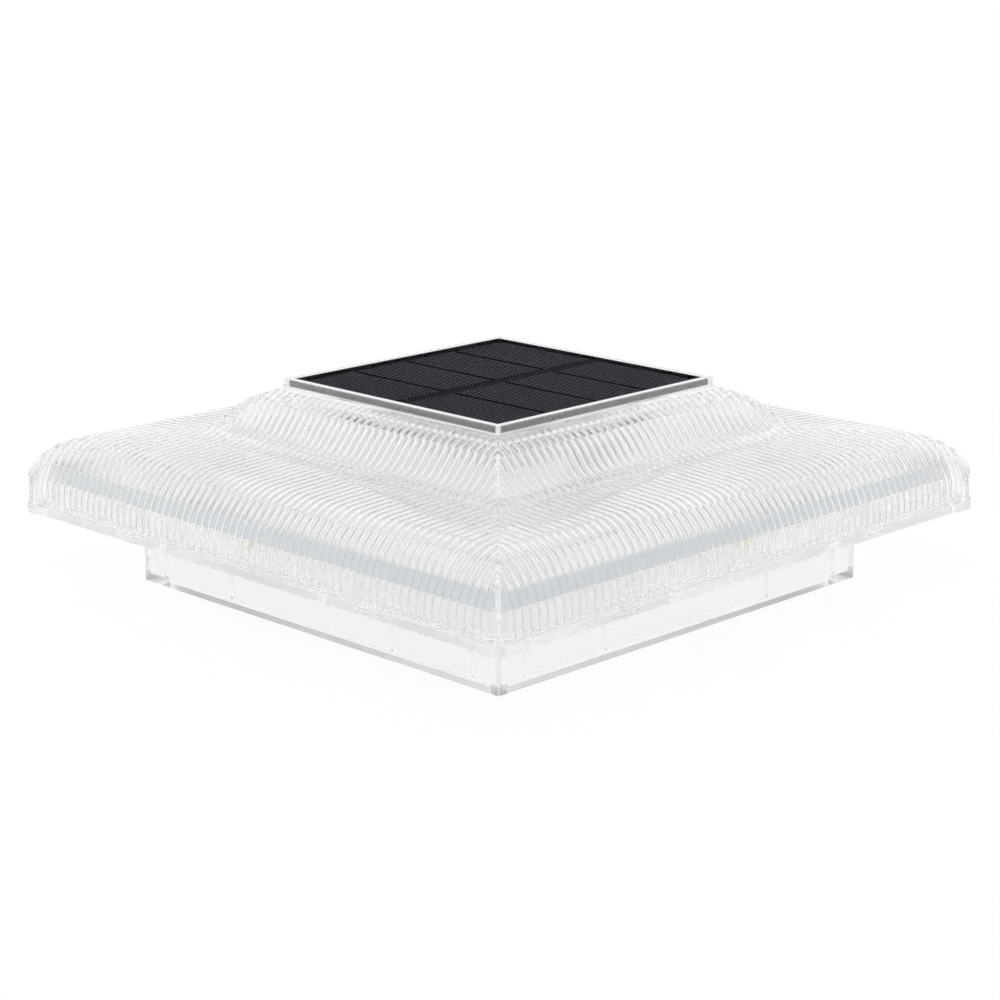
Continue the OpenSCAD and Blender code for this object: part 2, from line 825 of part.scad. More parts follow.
// Integrated circuit with its eight legs
module controller_chip() {
    x = chip_at[0];
    y = board_y + chip_at[1];
    color([0.1, 0.1, 0.11]) {
        block(x, y, chip_l, chip_w, board_top_z + chip_lift, board_top_z + chip_h);
        for (i = ENDS, k = [0:3])
            block(x + (k - 1.5) * leg_pitch, y + i * (chip_w / 2 + leg_size[1] / 2 - chip_lift),
                leg_size[0], leg_size[1], board_top_z, board_top_z + leg_size[2]);
    }
}

// Wound charging coil between its two flanges
module charge_coil() {
    flange = 0.8;
    winding_d = coil_d - 1;
    x = coil_at[0];
    y = board_y + coil_at[1];
    color([0.8, 0.8, 0.79]) {
        post(x, y, coil_d, board_top_z, board_top_z + flange);
        post(x, y, winding_d, board_top_z + flange / 2, board_top_z + coil_h - flange / 2);
        post(x, y, coil_d, board_top_z + coil_h - flange, board_top_z + coil_h);
    }
}

// Two round capacitors
module board_capacitors() {
    color([0.82, 0.82, 0.82])
        for (p = cap_at)
            post(p[0], board_y + p[1], cap_d, board_top_z, board_top_z + cap_h);
}

// Four small resistors
module board_resistors() {
    color([0.12, 0.12, 0.12])
        for (p = resistor_at)
            block(p[0], board_y + p[1], resistor_size[0], resistor_size[1],
                board_top_z, board_top_z + resistor_size[2]);
}

// Light boards, one upright at the middle of each side
module led_boards() {
    color([0.92, 0.93, 0.93])
        for (turn = SIDES)
            rotate([0, 0, turn])
                block(0, led_board_y + led_board_t / 2, led_board_l, led_board_t,
                    led_board_z, led_board_z + led_board_h);
}

// White cases of the four lights
module led_packages() {
    color([0.95, 0.95, 0.92])
        for (turn = SIDES)
            rotate([0, 0, turn])
                block(0, led_package_y + led_t / 2, led_l, led_t, led_z - led_h / 2, led_z + led_h / 2);
}

// Yellow faces of the four lights
module led_phosphors() {
    color([0.95, 0.85, 0.25])
        for (turn = SIDES)
            rotate([0, 0, turn])
                block(0, led_front - led_phosphor_t / 2, led_l - 2 * led_border, led_phosphor_t,
                    led_z - led_h / 2 + led_border, led_z + led_h / 2 - led_border);
}

// Two wires round the tray that feed the four light boards, and their leads from the board
module led_wires() {
    wire_y = led_board_y + led_board_t + led_wire_d / 2;
    feed_x = 2;
    feed_y = board_y + board_w / 2 - board_pad_in;
    feed_z = foot_z + lead_d / 2;
    color([0.85, 0.85, 0.85])
        for (k = [0, 1]) {
            for (turn = SIDES)
                rotate([0, 0, turn])
                    bar([-wire_y, wire_y, wire_levels[k]], [wire_y, wire_y, wire_levels[k]], led_wire_d);
            for (i = ENDS, j = ENDS)
                translate([i * wire_y, j * wire_y, wire_levels[k]])
                    sphere(d = led_wire_d);
        }
    color([0.85, 0.85, 0.85])
        for (i = ENDS) {
            bar([i * feed_x, feed_y, feed_z], [i * feed_x, led_board_y, feed_z], lead_d);
            post(i * feed_x, feed_y, lead_d, feed_z, board_z);
            translate([i * feed_x, feed_y, feed_z])
                sphere(d = lead_d);
        }
}

// Case of the slide switch, soldered under the board
module switch_body() {
    slot_l = stem_size[0] + switch_travel + 2 * stem_play;
    slot_w = stem_size[1] + 2 * stem_play;
    color([0.55, 0.56, 0.58])
        difference() {
            block(0, board_y, switch_l, switch_w, switch_z, board_z);
            block(0, board_y, slot_l, slot_w, switch_z - past, switch_z + stem_h + stem_play);
        }
}

// Slider of the switch, with its knob in the tray's slot
module switch_slider() {
    color([0.12, 0.12, 0.13]) {
        block(slider_x, board_y, knob_l, knob_w, tray_z + knob_recess, switch_z - stem_play);
        block(slider_x, board_y, stem_size[0], stem_size[1],
            switch_z - stem_play - past / 2, switch_z + stem_h);
    }
}

// Battery lid with its two cradle ribs for the cell
module battery_lid() {
    cradle_t = 2;
    cradle_w = 10;
    cradle_h = 4;
    cradle_x = 14.6;
    color([0.9, 0.91, 0.92, 0.6])
        difference() {
            union() {
                block(0, -battery_y, lid_l, lid_w, tray_z, lid_top_z);
                for (i = ENDS)
                    block(i * cradle_x, -battery_y, cradle_t, cradle_w,
                        lid_top_z - past / 2, lid_top_z + cradle_h);
            }
            translate([-bay_l / 2, -battery_y, battery_z])
                rotate([0, 90, 0])
                    cylinder(d = battery_d + 2 * side_play, h = bay_l);
            for (i = ENDS) {
                post(i * lid_screw_x, -battery_y, screw_d + 2 * lid_hole_play,
                    tray_z - past, lid_top_z + past);
                post(i * lid_screw_x, -battery_y, screw_head_d + 2 * lid_hole_play,
                    tray_z - past, tray_z + screw_head_h);
            }
        }
}

// Rubber seal on the lid, round the battery opening
module lid_seal() {
    seal_gap = 0.5;
    seal_w = 1.6;
    color([0.85, 0.85, 0.85])
        difference() {
            block(0, -battery_y, bay_l + 2 * (seal_gap + seal_w), bay_w + 2 * (seal_gap + seal_w),
                lid_top_z, ledge_z);
            block(0, -battery_y, bay_l + 2 * seal_gap, bay_w + 2 * seal_gap,
                lid_top_z - past, ledge_z + past);
        }
}

// Two captive screws of the battery lid
module lid_screws() {
    color([0.7, 0.7, 0.72])
        for (i = ENDS)
            screw(i * lid_screw_x, -battery_y, tray_z, lid_screw_tip - tray_z);
}

post_collar();
base_tray();
cover_seal();
diffuser_ring();
cover();
panel_tape();
panel_frame();
panel_backing();
solar_cells();
panel_glass();
panel_leads();
lead_plug();
battery_box();
battery_cell();
negative_contact();
positive_contact();
battery_leads();
circuit_board();
board_screws();
controller_chip();
charge_coil();
board_capacitors();
board_resistors();
led_boards();
led_packages();
led_phosphors();
led_wires();
switch_body();
switch_slider();
battery_lid();
lid_seal();
lid_screws();
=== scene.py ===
"""Solar post cap light: the looks of its pieces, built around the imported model.

The pieces are modelled in millimetres and brought to metres as their last step.
"""

import sys
import logging
import math
from abc import ABC, abstractmethod
from collections.abc import Callable
from dataclasses import dataclass
from enum import Enum
from functools import cache

import bmesh
import bpy
from mathutils import Matrix, Vector


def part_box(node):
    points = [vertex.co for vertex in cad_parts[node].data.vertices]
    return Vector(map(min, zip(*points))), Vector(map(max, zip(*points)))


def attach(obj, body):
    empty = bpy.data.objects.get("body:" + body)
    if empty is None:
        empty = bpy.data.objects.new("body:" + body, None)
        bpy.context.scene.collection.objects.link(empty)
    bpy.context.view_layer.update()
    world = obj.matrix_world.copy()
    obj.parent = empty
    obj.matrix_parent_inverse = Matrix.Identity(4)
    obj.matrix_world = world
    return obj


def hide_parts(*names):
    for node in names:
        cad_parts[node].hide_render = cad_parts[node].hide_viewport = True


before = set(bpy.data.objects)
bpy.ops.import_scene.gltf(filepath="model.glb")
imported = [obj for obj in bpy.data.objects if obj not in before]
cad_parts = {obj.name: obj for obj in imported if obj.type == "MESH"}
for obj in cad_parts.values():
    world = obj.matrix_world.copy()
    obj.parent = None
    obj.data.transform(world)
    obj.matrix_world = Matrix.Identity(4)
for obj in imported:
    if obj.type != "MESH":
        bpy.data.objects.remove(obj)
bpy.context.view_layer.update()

logging.basicConfig(level=logging.INFO, format="%(message)s", stream=sys.stdout)
LOG = logging.getLogger("post_cap_light")

# Lengths are in millimetres unless their line says metres.
MM = 0.001  # one of them, in metres
SIDES = 4
TOUCH = 0.001  # what lies nearer than this is at one place
GAP = 0.01  # drawn in from every face, so that no two pieces share one
STEEP = 0.5  # a face looks up if its normal rises by more than this
FLAT = math.radians(0.5)
SHARP_FROM = math.radians(35)
BEVEL_FROM = math.radians(40)
FLOAT = "NodeSocketFloat"
COLOUR = "NodeSocketColor"
VECTOR = "NodeSocketVector"
Spot = tuple[float, float, float]
Colour = tuple[float, float, float]
Ring = tuple[float, float]
Rounding = tuple[float, int]
FaceTest = Callable[[Vector, Vector], bool]
Socket = bpy.types.NodeSocket


class Body(Enum):
    """The moving bodies that a piece can ride on."""

    LIGHT = "light_body"
    SWITCH = "switch"
    LID = "lid"


class Kind(Enum):
    """What an edit-mode selection is made of."""

    VERT = "verts"
    EDGE = "edges"
    FACE = "faces"


def node_box(node: str) -> tuple[Vector, Vector]:
    """Find where a CAD node lies.

    Args:
        node: Name of the node.

    Returns:
        Its lowest and highest corners in millimetres.
    """
    low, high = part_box(node)
    return low / MM, high / MM


def object_mode() -> None:
    """Leave edit mode and deselect all."""
    if bpy.context.object and bpy.context.object.mode != "OBJECT":
        bpy.ops.object.mode_set(mode="OBJECT")
    bpy.ops.object.select_all(action="DESELECT")


def grey(level: float) -> Colour:
    """Give a neutral colour."""
    return (level,) * 3


def looks_up(face: bmesh.types.BMFace) -> bool:
    """Tell whether a face looks up."""
    return face.normal.z > STEEP


def looks_down(face: bmesh.types.BMFace) -> bool:
    """Tell whether a face looks down."""
    return face.normal.z < -STEEP


def out_from_middle(spot: Vector) -> float:
    """Give how far out towards a side a point lies."""
    return max(abs(spot.x), abs(spot.y))


class Workpiece:
    """One mesh on the bench, shaped with Blender's own operators."""

    def __init__(self, name: str) -> None:
        """Name the piece that is about to be made."""
        self.name = name
        self.obj: bpy.types.Object | None = None

    def start(self, add: Callable[..., set[str]], **settings: object) -> "Workpiece":
        """Start from the object of an add operator, with its place moved into its mesh.

        Args:
            add: The operator.
            settings: Its settings.

        Returns:
            This piece.
        """
        object_mode()
        add(**settings)
        self.take()
        bpy.ops.object.transform_apply(location=True, rotation=True, scale=True)
        return self

    def take(self) -> None:
        """Take the active object and name it."""
        self.obj = bpy.context.object
        self.obj.name = self.name
        self.obj.data.name = self.name

    def block(self, middle: Spot, size: Spot) -> "Workpiece":
        """Start from a block, by its middle and its size along the three axes."""
        return self.start(bpy.ops.mesh.primitive_cube_add, size=1, location=middle, scale=size)

    def cylinder(self, foot: Spot, radius: float, height: float, sides: int) -> "Workpiece":
        """Start from an upright cylinder, by the middle of its lower end."""
        add = bpy.ops.mesh.primitive_cylinder_add
        middle = (foot[0], foot[1], foot[2] + height / 2)
        return self.start(add, vertices=sides, radius=radius, depth=height, location=middle)

    def circle(self, centre: Spot, radius: float, sides: int) -> "Workpiece":
        """Start from a bare circle in the XY plane."""
        add = bpy.ops.mesh.primitive_circle_add
        return self.start(add, vertices=sides, radius=radius, location=centre)

    def straight_edge(self, start: Spot, length: float) -> "Workpiece":
        """Start from one edge that runs along +Y.

        Args:
            start: Its first end.
            length: Its length.

        Returns:
            This piece.
        """
        half = length / 2
        middle = (start[0] - half, start[1] + half, start[2])
        self.start(bpy.ops.mesh.primitive_plane_add, size=length, location=middle)
        self.drop(lambda v: v.co.x < start[0] - half, Kind.VERT)
        return self

    def copy_of(self, node: str) -> "Workpiece":
        """Start from a copy of a CAD node, merged and with its flat faces joined.

        Args:
            node: Name of the node.

        Returns:
            This piece.
        """
        object_mode()
        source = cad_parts[node]
        source.select_set(True)
        bpy.context.view_layer.objects.active = source
        bpy.ops.object.duplicate()
        self.take()
        self.obj.parent = None
        for key in list(self.obj.keys()):
            del self.obj[key]
        self.obj.data.materials.clear()
        self.pick_all()
        bpy.ops.transform.resize(value=(1 / MM,) * 3, center_override=(0, 0, 0))
        bpy.ops.mesh.remove_doubles(threshold=TOUCH)
        bpy.ops.mesh.dissolve_limited(angle_limit=FLAT)
        return self

    def activate(self) -> None:
        """Make the piece the only selected object."""
        object_mode()
        self.obj.select_set(True)
        bpy.context.view_layer.objects.active = self.obj

    def edit(self) -> None:
        """Open the piece in edit mode, alone."""
        if bpy.context.object is self.obj and self.obj.mode == "EDIT":
            return
        self.activate()
        bpy.ops.object.mode_set(mode="EDIT")

    def pick_all(self) -> None:
        """Select the whole mesh."""
        self.edit()
        bpy.ops.mesh.select_mode(type="VERT")
        bpy.ops.mesh.select_all(action="SELECT")

    def pick(self, test: Callable[..., bool], kind: Kind = Kind.FACE) -> None:
        """Select what passes a test, and nothing else.

        Args:
            test: Called with each vertex, edge or face.
            kind: Which of them it is called with.
        """
        self.edit()
        bpy.ops.mesh.select_mode(type=kind.name)
        bpy.ops.mesh.select_all(action="DESELECT")
        mesh = bmesh.from_edit_mesh(self.obj.data)
        chosen = [element for element in getattr(mesh, kind.value) if test(element)]
        for element in chosen:
            element.select_set(True)
        bmesh.update_edit_mesh(self.obj.data)

    def drop(self, test: Callable[..., bool], kind: Kind = Kind.FACE) -> None:
        """Delete the vertices, or the faces alone, that pass a test."""
        self.pick(test, kind)
        bpy.ops.mesh.delete(type="VERT" if kind is Kind.VERT else "ONLY_FACE")

    def extrude(self, way: Spot) -> None:
        """Extrude the selection by a vector."""
        bpy.ops.mesh.extrude_region_move(TRANSFORM_OT_translate={"value": way})

    def move(self, way: Spot) -> None:
        """Move the selection by a vector."""
        bpy.ops.transform.translate(value=way)

    def stretch(self, factors: Spot, centre: Spot) -> None:
        """Scale the selection about a point."""
        bpy.ops.transform.resize(value=factors, center_override=centre)

    def merge(self, distance: float = TOUCH) -> None:
        """Merge the vertices of the whole piece that lie together."""
        self.pick_all()
        bpy.ops.mesh.remove_doubles(threshold=distance)

    def trim(self, point: Spot, normal: Spot) -> None:
        """Cut the whole piece at a plane and drop what lies on the normal's side."""
        self.pick_all()
        bpy.ops.mesh.bisect(plane_co=point, plane_no=normal, clear_outer=True, threshold=TOUCH / 10)

    def split(self, point: Spot, normal: Spot) -> None:
        """Cut the selected faces at a plane and keep both sides."""
        bpy.ops.mesh.bisect(plane_co=point, plane_no=normal, threshold=TOUCH / 10)

    def repeat_round(self) -> None:
        """Copy the whole piece to the other sides, round the Z axis."""
        self.pick_all()
        for _ in range(SIDES - 1):
            bpy.ops.mesh.duplicate()
            bpy.ops.transform.rotate(value=math.tau / SIDES, orient_axis="Z", center_override=(0, 0, 0))

    def absorb(self, other: "Workpiece") -> None:
        """Take in another piece's mesh as it is."""
        self.activate()
        other.obj.select_set(True)
        bpy.ops.object.join()

    def modify(self, kind: str, **settings: object) -> None:
        """Add a modifier, set it and apply it.

        Args:
            kind: Type of the modifier.
            settings: Its settings, in their order.
        """
        self.activate()
        modifier = self.obj.modifiers.new(kind.lower(), kind)
        for key, value in settings.items():
            setattr(modifier, key, value)
        bpy.ops.object.modifier_apply(modifier=modifier.name)

    def cut(self, tool: "Workpiece") -> None:
        """Take another piece's space out of this one, and use the other up."""
        self.modify("BOOLEAN", operation="DIFFERENCE", object=tool.obj, solver="EXACT")
        bpy.data.objects.remove(tool.obj)

    def ease(self) -> None:
        """Draw every face in by a hair, so that no two pieces share a face."""
        self.pick_all()
        bpy.ops.mesh.normals_make_consistent(inside=False)
        bpy.ops.transform.shrink_fatten(value=-GAP, use_even_offset=True)

    def soften(self, width: float) -> None:
        """Round every sharp edge by a width."""
        self.modify(
            "BEVEL", width=width, segments=2, limit_method="ANGLE", angle_limit=BEVEL_FROM,
            miter_outer="MITER_SHARP")

    def flatten_faces(self) -> None:
        """Keep the shading of the large faces flat up to their rounded edges."""
        self.modify("WEIGHTED_NORMAL", keep_sharp=True)

    def repeat_along(self, step: Spot, count: int) -> None:
        """Copy the piece in a row with an Array modifier."""
        self.modify(
            "ARRAY", count=count, use_relative_offset=False, use_constant_offset=True,
            constant_offset_displace=step)

    def turn_on(self, rings: list[Ring]) -> None:
        """Go on turning a round piece upwards from its top face.

        Args:
            rings: Radius and height of the top of each new ring.
        """
        self.pick(looks_up)
        mesh = bmesh.from_edit_mesh(self.obj.data)
        edge = [v.co.copy() for v in mesh.verts if v.select]
        centre = sum(edge, Vector()) / len(edge)
        radius, here = (edge[0] - centre).length, centre.z
        for wide, high in rings:
            self.extrude((0, 0, high - here))
            self.stretch((wide / radius, wide / radius, 1), centre)
            radius, here = wide, high

    def turn_over(self, centre: Spot, axis: str, angle: float) -> None:
        """Turn the whole piece about a point."""
        self.pick_all()
        bpy.ops.transform.rotate(value=math.radians(angle), orient_axis=axis, center_override=centre)

    def repeat_at(self, steps: list[Vector]) -> None:
        """Copy the whole piece to other places, each given as a step from the first."""
        self.pick_all()
        here = Vector()
        for step in steps:
            bpy.ops.mesh.duplicate()
            self.move(step - here)
            here = step

    def dress_faces(self, finish: "Finish", where: FaceTest) -> None:
        """Give a further finish to some faces.

        Args:
            finish: The finish.
            where: Test of a face's middle, in millimetres, and of its normal.
        """
        mesh = self.obj.data
        mesh.materials.append(finish.material())
        for face in mesh.polygons:
            if where(face.center / MM, face.normal):
                face.material_index = len(mesh.materials) - 1

    def finish(self, finish: "Finish", body: Body, slot: str, nodes: list[str]) -> None:
        """Bring the piece to metres, shade it, dress it and hang it on its body.

        Args:
            finish: The finish of its surface.
            body: The body that it moves with.
            slot: Material slot of the record; not used.
            nodes: CAD nodes that it stands for.
        """
        self.pick_all()
        bpy.ops.mesh.normals_make_consistent(inside=False)
        self.stretch((MM,) * 3, (0, 0, 0))
        self.activate()
        bpy.ops.object.shade_smooth_by_angle(angle=SHARP_FROM)
        object_mode()
        self.obj.data.materials.clear()
        self.obj.data.materials.append(finish.material())
        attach(self.obj, body.value)
        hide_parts(*nodes)
        LOG.info("made %s: %d faces", self.name, len(self.obj.data.polygons))


@dataclass(frozen=True)
class Corner:
    """A corner of a section in the XZ plane, with the radius that rounds it."""

    x: float
    z: float
    radius: float = 0.0
    steps: int = 1

    @property
    def place(self) -> Vector:
        """The corner as a point of the section."""
        return Vector((self.x, self.z))


def heading(start: Vector, end: Vector) -> Vector:
    """Give the direction from one point of a section to another."""
    return (end - start).normalized()


class Sweep:
    """Draws a chain of edges along a section in the XZ plane."""

    def __init__(self, piece: Workpiece, x: float, z: float) -> None:
        """Start at a point, with the chain selected."""
        self.piece = piece
        self.here = Vector((x, z))

    def line_to(self, target: Vector) -> None:
        """Draw the chain straight to a point."""
        way = target - self.here
        if way.length > TOUCH:
            self.piece.extrude((way.x, 0, way.y))
        self.here = target.copy()

    def flatten(self) -> None:
        """Close the chain's own profile down to a straight line."""
        self.piece.extrude((0, 0, 0))
        self.piece.stretch((0, 1, 0), (self.here.x, 0, self.here.y))

    def follow(self, corners: list[Corner]) -> None:
        """Draw the chain round every corner but the last, and end there.

        Args:
            corners: The corners to come.
        """
        for corner, after in zip(corners, corners[1:]):
            u = heading(self.here, corner.place)
            v = heading(corner.place, after.place)
            turn = math.atan2(u.x * v.y - u.y * v.x, u.dot(v))
            run = corner.radius * math.tan(abs(turn) / 2)
            self.line_to(corner.place - u * run)
            if corner.radius:
                side = math.copysign(corner.radius, turn)
                centre = self.here + Vector((-u.y, u.x)) * side
                axis_at = (centre.x, 0, centre.y)
                bpy.ops.mesh.spin(steps=corner.steps, angle=turn, center=axis_at, axis=(0, 1, 0))
                self.here = corner.place + v * run
        self.line_to(corners[-1].place)


def moved_in(corners: list[Corner], wall: float) -> list[Corner]:
    """Move a section inwards by a wall, between its first and last corners.

    Args:
        corners: The outer section.
        wall: Thickness of the wall.

    Returns:
        The inner corners, with their radii eased to match.
    """
    inner = []
    for before, corner, after in zip(corners, corners[1:], corners[2:]):
        u = heading(before.place, corner.place)
        v = heading(corner.place, after.place)
        n1, n2 = Vector((-u.y, u.x)), Vector((-v.y, v.x))
        spot = corner.place + wall * (n1 + n2) / (1 + n1.dot(n2))
        side = math.copysign(wall, u.x * v.y - u.y * v.x)
        inner.append(Corner(spot.x, spot.y, corner.radius - side, corner.steps))
    return inner


class Nodes:
    """A material's or group's node tree, with short ways to add and wire nodes."""

    def __init__(self, tree: bpy.types.NodeTree) -> None:
        """Work on a node tree."""
        self.tree = tree

    def feed(self, node: bpy.types.Node, inputs: dict[str | int, object]) -> bpy.types.Node:
        """Fill a node's inputs: a socket is wired, and a plain value is set.

        Args:
            node: The node.
            inputs: What goes into each input, by the input's name or number.

        Returns:
            The node.
        """
        for key, source in inputs.items():
            if isinstance(source, Socket):
                self.tree.links.new(source, node.inputs[key])
            else:
                node.inputs[key].default_value = source
        return node

    def add(
        self, kind: str, inputs: dict[str | int, object] | None = None, **settings: object,
    ) -> bpy.types.Node:
        """Add a node.

        Args:
            kind: Its type.
            inputs: What goes into its inputs.
            settings: Its plain properties.

        Returns:
            The node.
        """
        node = self.tree.nodes.new(kind)
        for key, value in settings.items():
            setattr(node, key, value)
        return self.feed(node, inputs or {})

    def maths(self, operation: str, *terms: object, **settings: object) -> Socket:
        """Add a Math node and give its output."""
        inputs = dict(enumerate(terms))
        return self.add("ShaderNodeMath", inputs, operation=operation, **settings).outputs[0]

    def mix(self, factor: Socket, first: object, second: object, kind: str = "RGBA") -> Socket:
        """Add a Mix node and give its result."""
        inputs = {"Factor": factor, "A": first, "B": second}
        return self.add("ShaderNodeMix", inputs, data_type=kind).outputs["Result"]

    def axes(self, place: Socket) -> bpy.types.NodeOutputs:
        """Take a place apart into X, Y and Z."""
        return self.add("ShaderNodeSeparateXYZ", {"Vector": place}).outputs


def effect_group(
    name: str, inputs: dict[str, tuple[str, object]], outputs: dict[str, str],
) -> tuple[Nodes, bpy.types.NodeOutputs, bpy.types.Node]:
    """Start a shader node group.

    Args:
        name: Name of the group.
        inputs: Socket type and default value of each input.
        outputs: Socket type of each output.

    Returns:
        The group's nodes, what it is given, and its output node.
    """
    tree = bpy.data.node_groups.new(name, "ShaderNodeTree")
    for socket, (kind, default) in inputs.items():
        made = tree.interface.new_socket(name=socket, in_out="INPUT", socket_type=kind)
        if default is not None:
            made.default_value = default
    for socket, kind in outputs.items():
        tree.interface.new_socket(name=socket, in_out="OUTPUT", socket_type=kind)
    nodes = Nodes(tree)
    return nodes, nodes.add("NodeGroupInput").outputs, nodes.add("NodeGroupOutput")


@cache
def moulded_skin() -> bpy.types.NodeTree:
    """Build the fine uneven skin of a moulded or pressed surface, once.

    Returns:
        A group that gives a roughness and a normal.
    """
    nodes, given, end = effect_group(
        "moulded_skin",
        {
            "Place": (VECTOR, None), "Scale": (FLOAT, 300.0), "Roughness": (FLOAT, 0.3),
            "Spread": (FLOAT, 0.05), "Depth": (FLOAT, 0.00001),
        },
        {"Roughness": FLOAT, "Normal": VECTOR},
    )
    wave = {"Vector": given["Place"], "Scale": given["Scale"], "Detail": 3}
    noise = nodes.add("ShaderNodeTexNoise", wave).outputs["Fac"]
    centred = nodes.maths("SUBTRACT", noise, 0.5)
    rough = nodes.maths("MULTIPLY_ADD", centred, given["Spread"], given["Roughness"], use_clamp=True)
    bump = nodes.add("ShaderNodeBump", {"Height": noise, "Distance": given["Depth"]})
    nodes.feed(end, {"Roughness": rough, "Normal": bump.outputs["Normal"]})
    return nodes.tree


@cache
def tone_drift() -> bpy.types.NodeTree:
    """Build a slight drift between two tones over a surface, once.

    Returns:
        A group that gives a colour.
    """
    plain = (0.5, 0.5, 0.5, 1)
    nodes, given, end = effect_group(
        "tone_drift",
        {
            "Place": (VECTOR, None), "Scale": (FLOAT, 60.0),
            "Tone": (COLOUR, plain), "Second tone": (COLOUR, plain),
        },
        {"Color": COLOUR},
    )
    wave = {"Vector": given["Place"], "Scale": given["Scale"], "Detail": 2}
    noise = nodes.add("ShaderNodeTexNoise", wave).outputs["Fac"]
    nodes.feed(end, {"Color": nodes.mix(noise, given["Tone"], given["Second tone"])})
    return nodes.tree


@dataclass(frozen=True)
class Finish:
    """A surface finish: two close tones, a skin, and the shader's own values."""

    name: str
    tone: Colour
    second_tone: Colour
    roughness: float = 0.4
    metallic: float = 0.0
    transmission: float = 0.0
    ior: float = 1.5
    specular: float = 0.5
    skin_scale: float = 300.0
    skin_spread: float = 0.06
    skin_depth: float = 0.00001
    tone_scale: float = 60.0

    @cache
    def material(self) -> bpy.types.Material:
        """Give the finish's material, made on first use.

        Returns:
            The material.
        """
        material = bpy.data.materials.new(self.name)
        material.use_nodes = True
        material.diffuse_color = (*self.tone, 1)
        nodes = Nodes(material.node_tree)
        place = nodes.add("ShaderNodeTexCoord").outputs["Object"]
        tones = {
            "Place": place, "Scale": self.tone_scale,
            "Tone": (*self.tone, 1), "Second tone": (*self.second_tone, 1),
        }
        tone = nodes.add("ShaderNodeGroup", tones, node_tree=tone_drift()).outputs["Color"]
        surface = {
            "Place": place, "Scale": self.skin_scale, "Roughness": self.roughness,
            "Spread": self.skin_spread, "Depth": self.skin_depth,
        }
        skin = nodes.add("ShaderNodeGroup", surface, node_tree=moulded_skin()).outputs
        nodes.feed(material.node_tree.nodes["Principled BSDF"], {
            "Metallic": self.metallic, "Transmission Weight": self.transmission,
            "IOR": self.ior, "Specular IOR Level": self.specular,
            "Base Color": self.colour(nodes, place, tone),
            "Roughness": skin["Roughness"], "Normal": skin["Normal"],
        })
        return material

    def colour(self, nodes: Nodes, place: Socket, tone: Socket) -> Socket:
        """Give the colour socket; a finish with a pattern changes it."""
        return tone


@dataclass(frozen=True)
class ClearFinish(Finish):
    """Polished clear plastic, nearly without a skin."""

    roughness: float = 0.02
    transmission: float = 1.0
    ior: float = 1.49
    skin_scale: float = 90
    skin_spread: float = 0.01
    skin_depth: float = 0.0000002


@dataclass(frozen=True)
class CellFinish(Finish):
    """Dark silicon with fine pale fingers that run along X."""

    finger_pitch: float = 1.05
    finger_share: float = 0.18
    finger_tone: Colour = (0.18, 0.183, 0.2)

    def colour(self, nodes: Nodes, place: Socket, tone: Socket) -> Socket:
        """Lay the fingers over the silicon.

        Args:
            nodes: The material's nodes.
            place: Object coordinates.
            tone: The silicon's colour.

        Returns:
            The colour with its fingers.
        """
        steps = nodes.maths("DIVIDE", nodes.axes(place)["Y"], self.finger_pitch * MM)
        on_finger = nodes.maths("LESS_THAN", nodes.maths("FRACT", steps), self.finger_share)
        return nodes.mix(on_finger, tone, (*self.finger_tone, 1))


@dataclass(frozen=True)
class PaintedHighlightMetal(Finish):
    """Satin metal with painted light: its top edge and upright corners are painted bright as highlights,
    and its underside is painted bright to light the inside below.
    """

    # Painted light: the colour of the painted highlights on the top edge and upright corners, and of the
    # painted-bright underside.
    painted_light: Colour = (0.86, 0.87, 0.88)
    underside: float = 44.85
    top: float = 46.5
    corner: float = 65.5

    def colour(self, nodes: Nodes, place: Socket, tone: Socket) -> Socket:
        """Paint the metal bright above and below two levels and beyond the upright corners: painted
        highlights on the top edge and corners, painted light on the underside.

        Args:
            nodes: The material's nodes.
            place: Object coordinates.
            tone: The satin metal's colour.

        Returns:
            The colour with its painted highlights and its painted-bright underside.
        """
        axes = nodes.axes(place)
        reach = nodes.maths("ADD", *(nodes.maths("ABSOLUTE", axes[axis]) for axis in "XY"))
        at_corner = nodes.maths("GREATER_THAN", reach, self.corner * MM)
        on_top = nodes.maths("GREATER_THAN", axes["Z"], self.top * MM)
        below = nodes.maths("LESS_THAN", axes["Z"], self.underside * MM)
        # 1 where painted light goes: on the top edge and upright corners as painted highlights, and on
        #                             the underside.
        painted_light = nodes.maths("MAXIMUM", on_top, nodes.maths("MAXIMUM", below, at_corner))
        return nodes.mix(painted_light, tone, (*self.painted_light, 1))


COVER_CLEAR = ClearFinish("clear_fluted", (0.985, 0.986, 0.987), (0.982, 0.983, 0.984))
# Painted shade: a grey tint on the grooves' steep walls that draws the dark line beside each reed.
GROOVE_SHADE = ClearFinish("clear_groove_wall", grey(0.62), grey(0.6))
BASE_CLEAR = ClearFinish("clear_moulded", (0.93, 0.933, 0.936), (0.925, 0.928, 0.931))
LID_CLEAR = ClearFinish("clear_lid", (0.975, 0.98, 0.985), (0.97, 0.975, 0.98))
CLEAR_SILICONE = ClearFinish("clear_silicone", grey(0.98), grey(0.97), roughness=0.05, ior=1.41)
CLEAR_LEAD = ClearFinish("clear_insulation", grey(0.98), grey(0.97), roughness=0.05, ior=1.45)
FROSTED = Finish(
    "frosted_moulding", (0.99, 0.991, 0.992), (0.985, 0.986, 0.987),
    roughness=0.4, transmission=0.9, ior=1.49)
